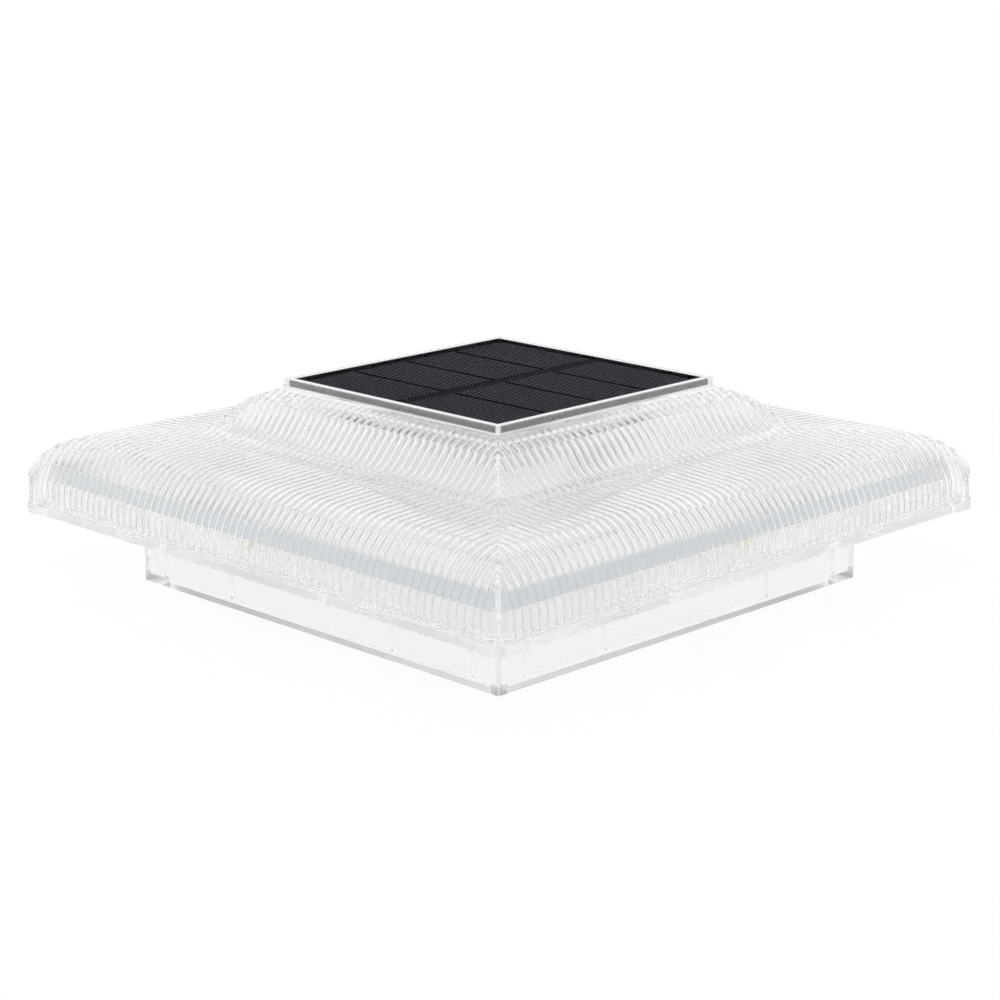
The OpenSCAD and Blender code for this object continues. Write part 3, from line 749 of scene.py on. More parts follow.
# Painted shade: a darker grey copy of the frosted moulding for the sleeve's walls, standing in for the
# shade in the collar's bays.
SLEEVE_SHADE = Finish(
    "frosted_sleeve", (0.74, 0.743, 0.746), (0.73, 0.733, 0.736),
    roughness=0.5, transmission=0.5, ior=1.49)
PANEL_GLASS = Finish(
    "clear_sheet", (0.96, 0.96, 0.98), (0.95, 0.95, 0.97),
    roughness=0.02, transmission=1.0, ior=1.003)
DIFFUSER = Finish("milky_diffuser", (0.62, 0.655, 0.68), (0.60, 0.635, 0.66), roughness=0.45)
SILICONE = Finish("white_silicone", grey(0.92), grey(0.90), roughness=0.7)
# Satin silver with painted highlights on its top edge and upright corners, and a painted-bright
# underside.
SILVER = PaintedHighlightMetal(
    "satin_silver", (0.18, 0.184, 0.19), (0.165, 0.169, 0.175), roughness=0.28, metallic=1.0)
PANEL_BLACK = Finish(
    "black_lacquer", (0.018, 0.019, 0.023), (0.022, 0.023, 0.027), roughness=0.5, specular=0.0)
CELLS = CellFinish(
    "silicon_cell", (0.004, 0.0045, 0.006), (0.006, 0.0065, 0.009), roughness=0.5, specular=0.0)
FOAM = Finish("pale_foam", grey(0.85), grey(0.82), roughness=0.95, skin_depth=0.00008, skin_scale=1500)
TAPE = Finish("white_foam", grey(0.80), grey(0.78), roughness=0.9, skin_depth=0.00005, skin_scale=1500)
BOX_WHITE = Finish("white_moulding", grey(0.86), grey(0.84), roughness=0.45)
WRAP = Finish("shrink_wrap", (0.90, 0.91, 0.92), (0.88, 0.89, 0.90), roughness=0.25)
NICKEL = Finish("nickel_plate", (0.72, 0.70, 0.64), (0.66, 0.64, 0.58), roughness=0.3, metallic=1.0)
LEAD_WHITE = Finish("white_insulation", grey(0.90), grey(0.87), roughness=0.5)
PART_BLACK = Finish("black_moulding", (0.02, 0.02, 0.022), (0.03, 0.03, 0.032), roughness=0.5)
COIL = Finish("pale_winding", (0.66, 0.66, 0.65), (0.6, 0.6, 0.59), roughness=0.4)
CAP_SLEEVE = Finish("pale_sleeve", grey(0.7), grey(0.66), roughness=0.3)
BOARD = Finish("white_solder_mask", (0.95, 0.955, 0.955), (0.94, 0.945, 0.945), roughness=0.4)
LED_WHITE = Finish("white_package", (0.93, 0.93, 0.90), (0.91, 0.91, 0.88), roughness=0.4)
LED_YELLOW = Finish("yellow_phosphor", (0.78, 0.60, 0.05), (0.82, 0.65, 0.08), roughness=0.3)
SWITCH_GREY = Finish("grey_moulding", (0.27, 0.28, 0.3), (0.24, 0.25, 0.27), roughness=0.5)
SCREW_STEEL = Finish("zinc_steel", (0.6, 0.6, 0.62), (0.54, 0.54, 0.56), roughness=0.3, metallic=1.0)


class Piece(ABC):
    """A piece of the light, which is built and then dressed."""

    @abstractmethod
    def build(self) -> Workpiece:
        """Model the piece."""

    @abstractmethod
    def dress(self, piece: Workpiece) -> None:
        """Give the piece its finishes, its body and its nodes."""

    def make(self) -> None:
        """Build the piece and dress it."""
        self.dress(self.build())


@dataclass
class FlutedCover(Piece):
    """The clear cover: reeds over its sides, shelf and dome, and the panel's seat.

    Angles are in degrees. Each rounding is a radius and its number of steps.
    """

    reeds: int = 67
    groove_half: float = 0.33
    bar_lean: float = 15
    bar_sides: int = 48
    groove_lean: float = 60
    groove_sides: int = 12
    corner_radius: float = 2.5
    corner_steps: int = 5
    strip: float = 4.0
    wall: float = 2.0
    foot_over_tray: float = 2.2
    lip_height: float = 0.8
    lip_out: float = 0.4
    lip_play: float = 0.15
    tab_height: float = 1.5
    tab_step: float = 0.02
    shelf_out: float = 12.1
    shelf_rise: float = 16.4
    shelf_angle: float = 3.5
    dome_angle: float = 52
    crown_angle: float = 22
    crown_rise: float = 26.2
    shoulder_round: Rounding = (12.6, 12)
    shelf_round: Rounding = (9.0, 6)
    dome_round: Rounding = (12.0, 5)
    crown_round: Rounding = (1.2, 4)
    rim_round: Rounding = (0.15, 2)
    panel_play: float = 0.1
    rim_wall: float = 0.7
    lead_hole: tuple[float, float] = (9.0, 4.4)
    snap_at: float = 39.0
    tongue: Spot = (1.2, 6.1, 1.25)
    foot_lift: float = 0.02
    reed_end: float = 35.0
    wall_slopes: tuple[float, float] = (0.4, 0.9)

    def __post_init__(self) -> None:
        """Work out the section from the frame."""
        high = node_box("cover")[1]
        self.lip_half = high.x
        self.wall_half = self.lip_half - self.lip_out
        self.foot_z = node_box("base_tray")[0].z + self.foot_over_tray
        self.open_z = self.foot_z + self.foot_lift
        self.top_z = high.z
        self.lip_z = self.foot_z + self.lip_height
        self.tab_z = self.lip_z + self.tab_height
        self.tab_rows = (self.tab_z - self.tab_step, self.tab_z + self.tab_step)
        self.seat_z = node_box("panel_tape")[0].z
        self.seat_half = node_box("panel_frame")[1].x + self.panel_play
        self.neck_half = self.seat_half + self.rim_wall
        self.straight_half = self.wall_half - self.corner_radius
        self.pitch = 2 * (self.straight_half + self.groove_half) / self.reeds
        self.bar_half = self.pitch / 2 - self.groove_half
        self.section = self.outer_section()

    def outer_section(self) -> list[Corner]:
        """Give the cover's outer section from foot to rim.

        Returns:
            Its corners.
        """
        shelf = Vector((self.neck_half + self.shelf_out, self.foot_z + self.shelf_rise))
        fall = (self.wall_half - shelf.x) * math.tan(math.radians(self.shelf_angle))
        crown = Vector((self.neck_half, self.foot_z + self.crown_rise))
        side, top = math.radians(self.dome_angle), math.radians(self.crown_angle)
        rise = crown.y - shelf.y - (shelf.x - crown.x) * math.tan(top)
        run = rise / (math.sin(side) - math.cos(side) * math.tan(top))
        dome = shelf + run * Vector((-math.cos(side), math.sin(side)))
        return [
            Corner(self.wall_half, self.foot_z),
            Corner(self.wall_half, shelf.y - fall, *self.shoulder_round),
            Corner(shelf.x, shelf.y, *self.shelf_round),
            Corner(dome.x, dome.y, *self.dome_round),
            Corner(crown.x, crown.y, *self.crown_round),
            Corner(self.neck_half, self.top_z, *self.rim_round),
            Corner(self.seat_half, self.top_z, *self.rim_round),
            Corner(self.seat_half, self.seat_z),
        ]

    def build(self) -> Workpiece:
        """Model the cover.

        Returns:
            The closed mesh.
        """
        cover = self.reeded_side()
        self.mitre(cover)
        cover.repeat_round()
        cover.merge()
        self.close_corners(cover)
        self.add_lip(cover)
        cover.absorb(self.inner_shell())
        cover.merge()
        self.add_tongues(cover)
        self.close_foot(cover)
        self.close_seat(cover)
        return cover

    def reeded_side(self) -> Workpiece:
        """Model the side that faces +X, wider than it will be.

        Returns:
            The open mesh.
        """
        side = self.arc("fluted_cover", self.bar_half, self.bar_lean, self.bar_sides, 0, 1)
        side.absorb(self.arc(
            "groove", self.groove_half, self.groove_lean, self.groove_sides, self.pitch / 2, -1))
        side.merge()
        dome, crown = self.section[3:5]
        share = (dome.x - self.reed_end) / (dome.x - crown.x)
        reed_stop = Corner(self.reed_end, dome.z + share * (crown.z - dome.z))
        sweep = self.draw_up(side, self.section[1:4] + [reed_stop])
        sweep.flatten()
        sweep.follow(self.section[4:])
        side.repeat_along((0, self.pitch, 0), self.reeds)
        side.pick_all()
        side.move((0, -self.pitch * (self.reeds - 1) / 2, 0))
        side.trim((0, self.straight_half, 0), (0, 1, 0))
        for end in (-1, 1):
            side.absorb(self.plain_strip(end))
        side.merge()
        tab_half = self.pitch + self.bar_half + TOUCH
        side.pick(lambda v: abs(v.co.y) < tab_half and v.co.z < self.tab_z, Kind.VERT)
        side.stretch((0, 1, 1), (self.lip_half, 0, 0))
        return side

    def arc(
        self, name: str, half: float, lean: float, sides: int, y: float, way: int,
    ) -> Workpiece:
        """Draw the arc of a reed's or a groove's cross section at the lip's top.

        Args:
            name: Name of the piece.
            half: Half the arc's width.
            lean: Slope of its ends.
            sides: Number of points on its whole circle.
            y: Place of its middle along the side.
            way: 1 for an arc that bulges out, -1 for one that goes in.

        Returns:
            The arc's edges.
        """
        lean = math.radians(lean)
        radius = half / math.sin(lean)
        centre = (self.wall_half - way * radius * math.cos(lean), y, self.lip_z)
        arc = Workpiece(name).circle(centre, radius, sides)
        arc.drop(lambda v: way * (v.co.x - self.wall_half) < -TOUCH, Kind.VERT)
        return arc

    def draw_up(self, strip: Workpiece, corners: list[Corner]) -> Sweep:
        """Draw edges up from the lip's top, with two close rows where the middle tab ends.

        Args:
            strip: The edges.
            corners: The corners to follow above the rows.

        Returns:
            The sweep, to go on with.
        """
        strip.pick(lambda e: True, Kind.EDGE)
        sweep = Sweep(strip, self.wall_half, self.lip_z)
        for level in self.tab_rows:
            sweep.line_to(Vector((self.wall_half, level)))
        sweep.follow(corners)
        return sweep

    def plain_strip(self, end: int) -> Workpiece:
        """Model the plain strip at one end of a side, with its half of the round upright corner.

        Args:
            end: -1 or 1, the end of the side.

        Returns:
            The open mesh.
        """
        start = end * self.straight_half + min(end, 0) * self.strip
        strip = Workpiece("plain").straight_edge((self.wall_half, start, self.lip_z), self.strip)
        self.draw_up(strip, self.section[1:3])
        centre = Vector((self.straight_half, end * self.straight_half, 0))
        for step in range(self.corner_steps):
            a = math.pi / 4 * (step + 0.5) / self.corner_steps
            normal = Vector((math.cos(a), end * math.sin(a), 0))
            strip.trim(centre + self.corner_radius * normal, normal)
        return strip

    def mitre(self, side: Workpiece) -> None:
        """Cut a side at its two diagonals."""
        for end in (-1, 1):
            side.trim((0, 0, 0), (-1, end, 0))

    def on_arch(self, edge: bmesh.types.BMEdge) -> bool:
        """Tell whether an open edge belongs to the arch over an upright corner."""
        a, b = (v.co for v in edge.verts)
        level = max(a.z, b.z) < self.lip_z + TOUCH or min(a.z, b.z) > self.seat_z - TOUCH
        upright = (a.xy - b.xy).length < TOUCH
        return edge.is_boundary and not level and not upright

    def close_corners(self, cover: Workpiece) -> None:
        """Draw the four rounded upright corners down to the lip."""
        cover.pick(self.on_arch, Kind.EDGE)
        cover.extrude((0, 0, 0))
        cover.stretch((1, 1, 0), (0, 0, self.lip_z))
        inside = self.straight_half - TOUCH
        for level in self.tab_rows:
            cover.pick(lambda f: all(min(abs(v.co.x), abs(v.co.y)) > inside for v in f.verts))
            cover.split((0, 0, level), (0, 0, 1))
        cover.merge(2 * TOUCH)

    def at_level(self, z: float) -> Callable[[bmesh.types.BMEdge], bool]:
        """Give a test for open edges at one height."""
        return lambda edge: edge.is_boundary and all(abs(v.co.z - z) < TOUCH for v in edge.verts)

    def zone(self, spot: Vector, near: float) -> tuple[int, int]:
        """Tell on which side of the middle stretch a point lies, along X and Y."""
        return tuple(int(c > near) - int(c < -near) for c in spot)

    def add_lip(self, cover: Workpiece) -> None:
        """Draw the lip out of the open edge at its top, and down to the foot."""
        cover.pick(self.at_level(self.lip_z), Kind.EDGE)
        cover.extrude((0, 0, 0))
        mesh = bmesh.from_edit_mesh(cover.obj.data)
        ring = {v.index for v in mesh.verts if v.select}
        near = self.straight_half + self.lip_play
        wider = (self.corner_radius + self.lip_out) / self.corner_radius
        out, corner = self.lip_half, self.straight_half
        zones = {(i, j): (wider, wider, 1) for i in (-1, 1) for j in (-1, 1)}
        zones |= {(-1, 0): (0, 1, 1), (0, -1): (1, 0, 1), (1, 0): (0, 1, 1), (0, 1): (1, 0, 1)}
        for (i, j), factors in zones.items():
            at = corner if i and j else out
            cover.pick(lambda v: v.index in ring and self.zone(v.co.xy, near) == (i, j), Kind.VERT)
            cover.stretch(factors, (i * at, j * at, 0))
        cover.pick(lambda e: e.is_boundary and all(v.index in ring for v in e.verts), Kind.EDGE)
        cover.extrude((0, 0, self.open_z - self.lip_z))
        cover.merge(4 * TOUCH)

    def inner_shell(self) -> Workpiece:
        """Model the cover's smooth inner face.

        Returns:
            The open mesh.
        """
        inner = moved_in(self.section[:5], self.wall)
        roof_z = self.seat_z - self.wall
        top = inner[2]
        slope = math.tan(math.radians(self.crown_angle))
        roof = Corner(top.x - (roof_z - top.z) / slope, roof_z)
        x = inner[0].x
        start = (x, -self.lip_half, self.open_z)
        shell = Workpiece("inner").straight_edge(start, 2 * self.lip_half)
        shell.pick(lambda e: True, Kind.EDGE)
        Sweep(shell, x, self.open_z).follow(inner[:3] + [roof])
        self.mitre(shell)
        shell.repeat_round()
        shell.merge()
        return shell

    def add_tongues(self, cover: Workpiece) -> None:
        """Add the open walls of the snap tongues under the foot."""
        width, length, depth = self.tongue
        x = self.wall_half - self.wall / 2
        z = (self.foot_z - depth + self.open_z) / 2
        size = (width, length, depth + self.foot_lift)
        for end in (-1, 1):
            tongue = Workpiece("tongue").block((x, end * self.snap_at, z), size)
            tongue.drop(looks_up)
            tongue.repeat_round()
            cover.absorb(tongue)

    def close_foot(self, cover: Workpiece) -> None:
        """Fill the ring between the outer and inner walls at the foot."""
        cover.pick(self.at_level(self.open_z), Kind.EDGE)
        bpy.ops.mesh.fill(use_beauty=True)

    def close_seat(self, cover: Workpiece) -> None:
        """Fill the panel's seat and the roof under it, round the leads' hole."""
        low, high = node_box("panel_leads")
        middle = (0, (low.y + high.y) / 2, self.seat_z - self.wall / 2)
        hole = Workpiece("hole").block(middle, (*self.lead_hole, self.wall))
        hole.drop(lambda f: looks_up(f) or looks_down(f))
        cover.absorb(hole)
        for level in (self.seat_z, self.seat_z - self.wall):
            cover.pick(self.at_level(level), Kind.EDGE)
            bpy.ops.mesh.fill(use_beauty=True)

    def dress(self, piece: Workpiece) -> None:
        """Give the cover its clear plastic, and a grey tint on the grooves' steep walls that draws their
        dark lines as painted shade.
        """
        piece.finish(COVER_CLEAR, Body.LIGHT, "clear_cover", ["cover"])
        # The steep groove walls get the grey tint of painted shade.
        piece.dress_faces(GROOVE_SHADE, self.on_groove_wall)

    def on_groove_wall(self, middle: Vector, normal: Vector) -> bool:
        """Tell whether a face lies on a steep wall of a groove."""
        steep, steepest = self.wall_slopes
        along = abs(normal.y) if abs(middle.x) > abs(middle.y) else abs(normal.x)
        on_reeds = self.lip_z + TOUCH < middle.z < self.seat_z
        between = min(abs(middle.x), abs(middle.y)) < self.straight_half
        return on_reeds and between and steep < along < steepest


@dataclass(frozen=True)
class SoftCopy(Piece):
    """A moulded piece made from its CAD node with softened edges."""

    node: str
    surface: Finish
    slot: str
    width: float = 0.2
    body: Body = Body.LIGHT

    def build(self) -> Workpiece:
        """Copy the node, ease it, work it and soften its edges.

        Returns:
            The closed mesh.
        """
        piece = Workpiece(self.node + "_moulding").copy_of(self.node)
        piece.ease()
        self.work(piece)
        piece.soften(self.width)
        return piece

    def work(self, piece: Workpiece) -> None:
        """Add what the CAD node leaves out; a plain piece needs nothing."""

    def dress(self, piece: Workpiece) -> None:
        """Give the piece its finish and flat faces."""
        piece.finish(self.surface, self.body, self.slot, [self.node])
        piece.flatten_faces()


@dataclass(frozen=True)
class FrostedCopy(SoftCopy):
    """A clear moulding with a frosted finish on some of its faces."""

    frosts: tuple[tuple[Finish, FaceTest], ...] = ()

    def dress(self, piece: Workpiece) -> None:
        """Dress the piece, and give each frosted finish to the faces that pass its test."""
        super().dress(piece)
        for finish, where in self.frosts:
            piece.dress_faces(finish, where)


@dataclass(frozen=True)
class GrippedCopy(SoftCopy):
    """A moulding with a row of grip grooves, narrower at their bottom, in its underside."""

    length: float = 8.0
    groove: float = 0.8
    depth: float = 0.4
    pitch: float = 1.8
    count: int = 5
    taper: Spot = (0.5, 0.95, 1.0)

    def work(self, piece: Workpiece) -> None:
        """Cut the grooves across the middle of the underside."""
        low, high = node_box(self.node)
        middle = (low + high) / 2
        x = middle.x - self.pitch * (self.count - 1) / 2
        size = (self.groove, self.length, 2 * self.depth)
        tool = Workpiece("grooves").block((x, middle.y, low.z), size)
        tool.pick(looks_up)
        tool.stretch(self.taper, (x, middle.y, 0))
        tool.repeat_along((self.pitch, 0, 0), self.count)
        piece.cut(tool)


@dataclass(frozen=True)
class CrossScrews(Piece):
    """Pan-head screws with a cross recess: one is modelled and the others are its copies."""

    node: str
    body: Body
    heads_down: bool = False
    head_radius: float = 1.9
    head_height: float = 0.8
    head_turns: tuple[float, ...] = (30, 60)
    shank_radius: float = 1.0
    thread_pitch: float = 0.6
    thread_depth: float = 0.15
    tip: float = 0.6
    recess: Spot = (2.0, 0.45, 0.5)
    taper: Spot = (0.6, 0.6, 1.0)
    sides: int = 32

    def build(self) -> Workpiece:
        """Turn one screw, cut its recess and copy it to every place.

        Returns:
            The screws.
        """
        low, high = node_box(self.node)
        half = (high - low) / 2 - Vector((self.head_radius, self.head_radius, 0))
        spots = [Vector((x, y, 0)) for x in self.ends(half.x) for y in self.ends(half.y)]
        middle = (low + high) / 2 + spots[0]
        foot = (middle.x, middle.y, low.z)
        screw = Workpiece(self.node + "_turned").cylinder(foot, self.shank_radius / 2, TOUCH, self.sides)
        screw.turn_on(self.rings(low.z, high.z - self.head_height, high.z))
        length, width, depth = self.recess
        for x, y in ((length, width), (width, length)):
            tool = Workpiece("recess").block((middle.x, middle.y, high.z), (x, y, 2 * depth))
            tool.pick(looks_down)
            tool.stretch(self.taper, middle)
            screw.cut(tool)
        if self.heads_down:
            screw.turn_over(middle, "X", 180)
        screw.repeat_at([spot - spots[0] for spot in spots[1:]])
        return screw

    def ends(self, reach: float) -> list[float]:
        """Give the places of the screws along one axis, from the middle."""
        return [-reach, reach] if reach > self.head_radius else [0.0]

    def rings(self, foot: float, neck: float, top: float) -> list[Ring]:
        """Give the screw's rings: its tip, its threads and its domed head.

        Args:
            foot: Height of the tip.
            neck: Height of the head's seat.
            top: Height of the head's top.

        Returns:
            Radius and height of each ring.
        """
        root = self.shank_radius - self.thread_depth
        start = foot + self.tip
        rings = [(root, start)]
        for turn in range(int((neck - start) / self.thread_pitch)):
            level = start + turn * self.thread_pitch
            rings.append((self.shank_radius, level + self.thread_pitch / 3))
            rings.append((root, level + self.thread_pitch))
        round_over = self.head_height / 2
        rings += [(root, neck), (self.head_radius, neck), (self.head_radius, neck + round_over)]
        for turn in map(math.radians, self.head_turns):
            radius = self.head_radius - round_over * (1 - math.cos(turn))
            rings.append((radius, neck + round_over + round_over * math.sin(turn)))
        return rings + [(self.head_radius - round_over, top)]

    def dress(self, piece: Workpiece) -> None:
        """Give the screws their plated steel."""
        piece.finish(SCREW_STEEL, self.body, "screw_steel", [self.node])


@dataclass(frozen=True)
class RechargeableCell(Piece):
    """The cell: bare metal ends in a shrink wrap, with its button towards +X."""

    button_radius: float = 2.75
    button_height: float = 1.0
    fold: float = 1.0
    edge: float = 0.4
    dip: float = 0.2
    sides: int = 64

    def build(self) -> Workpiece:
        """Turn the cell upright and lay it down along X.

        Returns:
            The closed mesh.
        """
        low, high = node_box("battery_cell")
        middle = (low + high) / 2
        radius = (high.y - low.y) / 2
        half = (high.x - low.x) / 2
        foot = (middle.x, middle.y, middle.z - half + self.edge)
        top = middle.z + half
        shoulder = top - self.button_height
        straight = 2 * half - self.button_height - 2 * self.edge
        cell = Workpiece("cell_wrapped").cylinder(foot, radius, straight, self.sides)
        cell.turn_on(self.folded_end(radius, shoulder) + [
            (self.button_radius, shoulder - self.dip),
            (self.button_radius, top - self.dip),
            (self.button_radius - self.dip, top),
        ])
        cell.turn_over(middle, "X", 180)
        cell.turn_on(self.folded_end(radius, top))
        cell.turn_over(middle, "X", 180)
        cell.turn_over(middle, "Y", 90)
        return cell

    def folded_end(self, radius: float, top: float) -> list[Ring]:
        """Give the rings where the wrap folds over an end.

        Args:
            radius: The cell's radius.
            top: Height of the end.

        Returns:
            Radius and height of each ring, down to the bare metal.
        """
        fold = radius - self.edge - self.fold
        return [
            (radius - self.edge / 3, top - self.edge / 3), (radius - self.edge, top),
            (fold, top), (fold, top - self.dip),
        ]

    def dress(self, piece: Workpiece) -> None:
        """Wrap the cell and leave the metal bare inside the wrap's folds."""
        low, high = node_box("battery_cell")
        centre = ((low + high) / 2).yz
        bare = (high.y - low.y) / 2 - self.edge - 3 * self.fold / 4
        piece.finish(WRAP, Body.LIGHT, "battery_wrap", ["battery_cell"])
        piece.dress_faces(NICKEL, lambda middle, normal: (middle.yz - centre).length < bare)


@dataclass(frozen=True)
class ChargeCoil(Piece):
    """The wound coil between its two flanges."""

    flange: float = 0.8
    winding_radius: float = 2.5
    turns: int = 7
    turn_depth: float = 0.12
    bevel: float = 0.1
    sides: int = 48

    def build(self) -> Workpiece:
        """Turn the coil from its lower flange up.

        Returns:
            The closed mesh.
        """
        low, high = node_box("charge_coil")
        middle = (low + high) / 2
        radius = (high.x - low.x) / 2
        foot = (middle.x, middle.y, low.z)
        coil = Workpiece("coil_wound").cylinder(foot, radius, self.flange, self.sides)
        start = low.z + self.flange
        pitch = (high.z - low.z - 2 * self.flange) / self.turns
        valley = self.winding_radius - self.turn_depth
        rings = [(valley, start)]
        for turn in range(self.turns):
            level = start + turn * pitch
            rings.append((self.winding_radius, level + pitch / 4))
            rings.append((self.winding_radius, level + 3 * pitch / 4))
            rings.append((valley, level + pitch))
        coil.turn_on(rings + [
            (radius, high.z - self.flange), (radius, high.z - self.bevel),
            (radius - self.bevel, high.z), (radius / 2, high.z),
            (radius / 2 - self.bevel, high.z - self.bevel),
        ])
        return coil

    def dress(self, piece: Workpiece) -> None:
        """Give the coil its pale winding."""
        piece.finish(COIL, Body.LIGHT, "coil_pale", ["charge_coil"])


@dataclass(frozen=True)
class Capacitors(Piece):
    """The two round capacitors: sleeved cans with a crimp and a bare end."""

    crimp_at: float = 0.7
    crimp: float = 0.2
    bevel: float = 0.25
    bare: float = 0.5
    sides: int = 40

    def build(self) -> Workpiece:
        """Turn one can and copy it.

        Returns:
            The two cans.
        """
        low, high = node_box("board_capacitors")
        radius = (high.y - low.y) / 2
        foot = low + Vector((radius, radius, 0))
        can = Workpiece("capacitor_cans").cylinder(foot, radius, self.crimp_at, self.sides)
        level = low.z + self.crimp_at
        waist = radius - self.crimp
        can.turn_on([
            (waist, level + self.crimp), (waist, level + 2 * self.crimp),
            (radius, level + 3 * self.crimp), (radius, high.z - self.bevel),
            (radius - self.bevel / 4, high.z - self.bevel / 4), (radius - self.bevel, high.z),
            (radius - self.bare, high.z), (radius - self.bare, high.z - self.crimp / 2),
        ])
        can.repeat_at([Vector((high.x - low.x - 2 * radius, 0, 0))])
        return can

    def dress(self, piece: Workpiece) -> None:
        """Sleeve the cans and leave the metal bare in their upper ends."""
        low, high = node_box("board_capacitors")
        radius = (high.y - low.y) / 2
        centres = [Vector((x, low.y + radius)) for x in (low.x + radius, high.x - radius)]
        level = high.z - 3 * self.crimp / 4
        bare = radius - self.bare + self.crimp

        def on_end(middle: Vector, normal: Vector) -> bool:
            """Tell whether a face lies in one of the bare ends."""
            return middle.z > level and min((middle.xy - centre).length for centre in centres) < bare

        piece.finish(CAP_SLEEVE, Body.LIGHT, "cap_pale", ["board_capacitors"])
        piece.dress_faces(NICKEL, on_end)


@dataclass
class Studio:
    """Floor, lamp, world and the camera of the photograph; in metres and degrees."""

    aim: Spot = (0.0, 0.0, 0.01848)
    distance: float = 0.5643
    azimuth: float = 45.16
    elevation: float = 14.90
    roll: float = -0.25
    lens: float = 90.03
    sensor: float = 36.0
    shift: float = 0.00093
    sky_light: float = 0.9
    floor_tone: float = 0.98
    backdrop_share: float = 0.88
    floor_size: float = 60.0
    lamp_power: float = 0.45
    lamp_spread: float = 30.0
    lamp_turn: tuple[float, float] = (28.0, 18.0)
    bounces: int = 128

    def make(self) -> None:
        """Set up the whole studio."""
        cycles = bpy.context.scene.cycles
        cycles.max_bounces = self.bounces
        cycles.transmission_bounces = self.bounces
        cycles.glossy_bounces = self.bounces
        cycles.blur_glossy = 0
        self.world()
        self.floor()
        self.lamp()
        self.camera()

    def backdrop_factor(self, nodes: Nodes) -> Socket:
        """Give 1 for rays that see the backdrop, straight or through gloss and glass.

        Args:
            nodes: Nodes of the world or of a material.

        Returns:
            The mask.
        """
        path = nodes.add("ShaderNodeLightPath")
        seen = path.outputs["Is Camera Ray"]
        for name in ("Is Glossy Ray", "Is Transmission Ray"):
            seen = nodes.maths("MAXIMUM", seen, path.outputs[name])
        return seen

    def world(self) -> None:
        """Make a white backdrop with a plain, even light."""
        world = bpy.data.worlds.new("studio")
        bpy.context.scene.world = world
        world.use_nodes = True
        nodes = Nodes(world.node_tree)
        seen = self.backdrop_factor(nodes)
        strength = nodes.mix(seen, self.sky_light, 1.0, "FLOAT")
        nodes.feed(world.node_tree.nodes["Background"], {"Color": (1, 1, 1, 1), "Strength": strength})

    def floor(self) -> None:
        """Lay a plain white floor that keeps the light's shadow and is see-through from below."""
        object_mode()
        bpy.ops.mesh.primitive_plane_add(size=self.floor_size, location=(0, 0, 0))
        floor = bpy.context.object
        floor.name = "floor"
        material = bpy.data.materials.new("floor_white")
        material.use_nodes = True
        nodes = Nodes(material.node_tree)
        shader = nodes.feed(material.node_tree.nodes["Principled BSDF"], {
            "Base Color": (self.floor_tone,) * 3 + (1,), "Roughness": 1.0, "Specular IOR Level": 0.0,
        })
        share = nodes.maths("MULTIPLY", self.backdrop_factor(nodes), self.backdrop_share)
        white = nodes.add("ShaderNodeEmission")
        lit = {0: share, 1: shader.outputs[0], 2: white.outputs[0]}
        above = nodes.add("ShaderNodeMixShader", lit)
        from_below = nodes.add("ShaderNodeNewGeometry").outputs["Backfacing"]
        nothing = nodes.add("ShaderNodeBsdfTransparent")
        sides = {0: from_below, 1: above.outputs[0], 2: nothing.outputs[0]}
        surface = nodes.add("ShaderNodeMixShader", sides).outputs[0]
        nodes.feed(material.node_tree.nodes["Material Output"], {"Surface": surface})
        floor.data.materials.append(material)

    def lamp(self) -> None:
        """Hang the soft lamp."""
        data = bpy.data.lights.new("key", "SUN")
        data.energy = self.lamp_power
        data.angle = math.radians(self.lamp_spread)
        lamp = bpy.data.objects.new("key", data)
        bpy.context.scene.collection.objects.link(lamp)
        lamp.rotation_euler = (*map(math.radians, self.lamp_turn), 0)

    def camera(self) -> None:
        """Put the camera where the photograph was taken from."""
        a, e, r = (math.radians(x) for x in (self.azimuth, self.elevation, self.roll))
        back = Vector((math.sin(a) * math.cos(e), -math.cos(a) * math.cos(e), math.sin(e)))
        right = Vector((math.cos(a), math.sin(a), 0))
        up = back.cross(right)
        tilted_right = math.cos(r) * right + math.sin(r) * up
        tilted_up = math.cos(r) * up - math.sin(r) * right
        data = bpy.data.cameras.new("photo_view")
        data.lens = self.lens
        data.sensor_width = self.sensor
        data.shift_x = self.shift
        data.clip_start = 0.01
        camera = bpy.data.objects.new("photo_view", data)
        bpy.context.scene.collection.objects.link(camera)
        turn = Matrix((tilted_right, tilted_up, back)).transposed().to_quaternion()
        place = Vector(self.aim) + self.distance * back
        camera.matrix_world = Matrix.LocRotScale(place, turn, None)
        bpy.context.scene.camera = camera


def dress_rest() -> None:
    """Give each carried-over CAD node its finish and log it."""
    finishes = {
        "panel_leads": LEAD_WHITE, "negative_contact": NICKEL, "battery_leads": LEAD_WHITE,
        "led_wires": CLEAR_LEAD,
    }
    for node, finish in finishes.items():
        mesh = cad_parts[node].data
        mesh.materials.clear()
        mesh.materials.append(finish.material())
        LOG.info("dressed %s: %d faces", node, len(mesh.polygons))


# Where the collar and the tray are frosted: heights, and how far out towards a side.
OPENING_FROM = 1.0
OPENING_OUT = 51.8
SLEEVE_RISE = (2.0, 16.3)
SLEEVE_OUT = (52.7, 53.1)
RIM_OUT = 69.5


def on_opening(middle: Vector, normal: Vector) -> bool:
    """Tell whether a face of the collar looks into its opening."""
    return OPENING_FROM < middle.z and out_from_middle(middle) < OPENING_OUT


def on_sleeve(middle: Vector, normal: Vector) -> bool:
    """Tell whether a face of the collar lies on the sleeve, between its floor and the tray."""
    foot, top = SLEEVE_RISE
    inner, outer = SLEEVE_OUT
    return foot < middle.z < top and inner < out_from_middle(middle) < outer


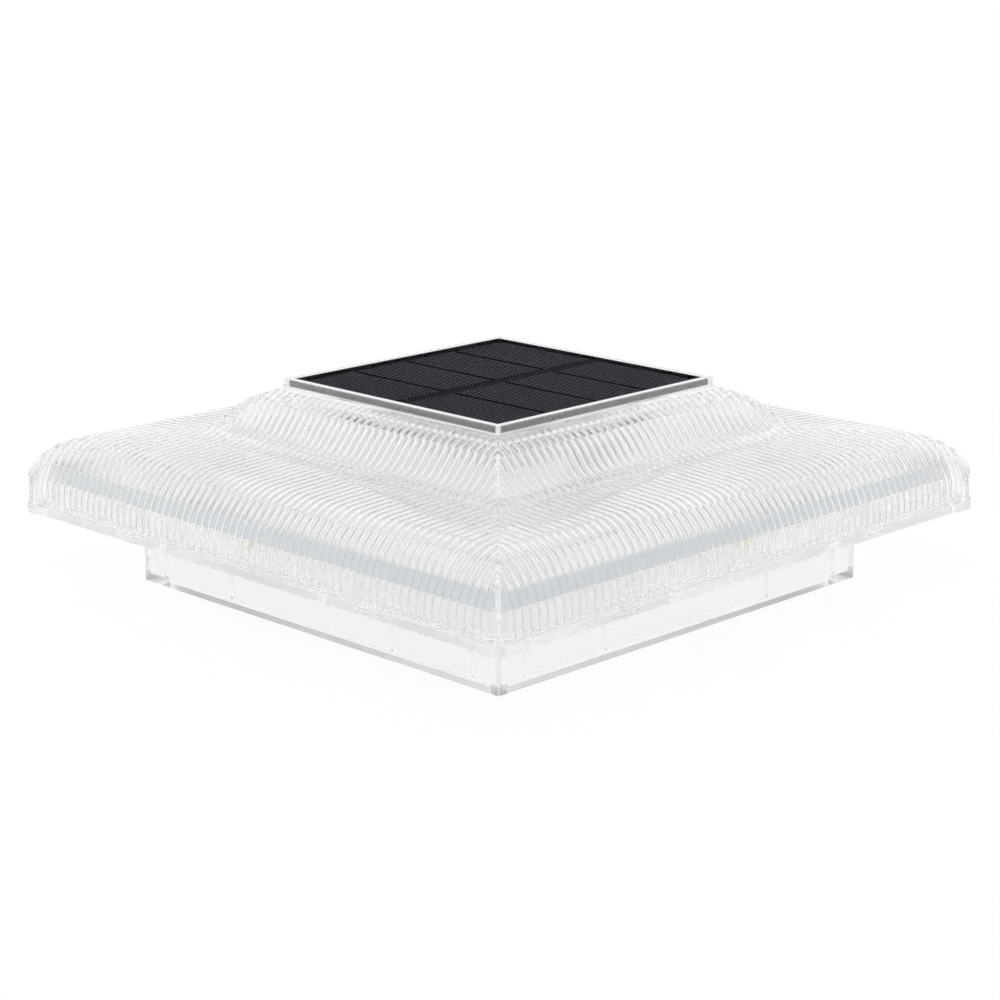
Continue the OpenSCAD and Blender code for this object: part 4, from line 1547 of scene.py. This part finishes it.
def on_rim(middle: Vector, normal: Vector) -> bool:
    """Tell whether a face of the tray lies outside the upstand's inner face."""
    return out_from_middle(middle) > RIM_OUT


def main() -> None:
    """Build every piece in order."""
    bpy.context.scene.view_settings.view_transform = "Standard"
    Studio().make()
    # The sleeve gets the darker, painted-shade copy of the frosted moulding.
    on_collar = ((FROSTED, on_opening), (SLEEVE_SHADE, on_sleeve))
    for piece in (
        FlutedCover(),
        FrostedCopy("post_collar", BASE_CLEAR, "clear_base", 0.2, frosts=on_collar),
        FrostedCopy("base_tray", BASE_CLEAR, "clear_base", 0.15, frosts=((FROSTED, on_rim),)),
        SoftCopy("panel_frame", SILVER, "silver_frame", 0.12),
        SoftCopy("panel_backing", PANEL_BLACK, "panel_black", 0.05),
        SoftCopy("solar_cells", CELLS, "cell_dark", 0.03),
        SoftCopy("panel_glass", PANEL_GLASS, "panel_glass", 0.05),
        SoftCopy("battery_box", BOX_WHITE, "box_white", 0.3),
        SoftCopy("circuit_board", BOARD, "board_white", 0.1),
        SoftCopy("led_boards", BOARD, "board_white", 0.1),
        SoftCopy("switch_body", SWITCH_GREY, "switch_grey", 0.15),
        SoftCopy("panel_tape", TAPE, "foam_white", 0.05),
        SoftCopy("lead_plug", SILICONE, "silicone_white", 0.2),
        SoftCopy("cover_seal", CLEAR_SILICONE, "silicone_white", 0.15),
        SoftCopy("diffuser_ring", DIFFUSER, "diffuser", 0.1),
        SoftCopy("positive_contact", NICKEL, "contact_nickel", 0.05),
        SoftCopy("controller_chip", PART_BLACK, "part_black", 0.06),
        SoftCopy("board_resistors", PART_BLACK, "part_black", 0.05),
        SoftCopy("led_packages", LED_WHITE, "led_white", 0.06),
        SoftCopy("led_phosphors", LED_YELLOW, "led_yellow", 0.04),
        SoftCopy("lid_seal", FOAM, "foam_pale", 0.15, Body.LID),
        GrippedCopy(
            "switch_slider", PART_BLACK, "part_black", 0.06, Body.SWITCH,
            length=2.4, groove=0.4, depth=0.25, pitch=0.9, count=3),
        GrippedCopy("battery_lid", LID_CLEAR, "clear_base", 0.12, Body.LID),
        CrossScrews("lid_screws", Body.LID, heads_down=True),
        CrossScrews("board_screws", Body.LIGHT),
        RechargeableCell(),
        ChargeCoil(),
        Capacitors(),
    ):
        piece.make()
    dress_rest()


if __name__ == "__main__":
    main()
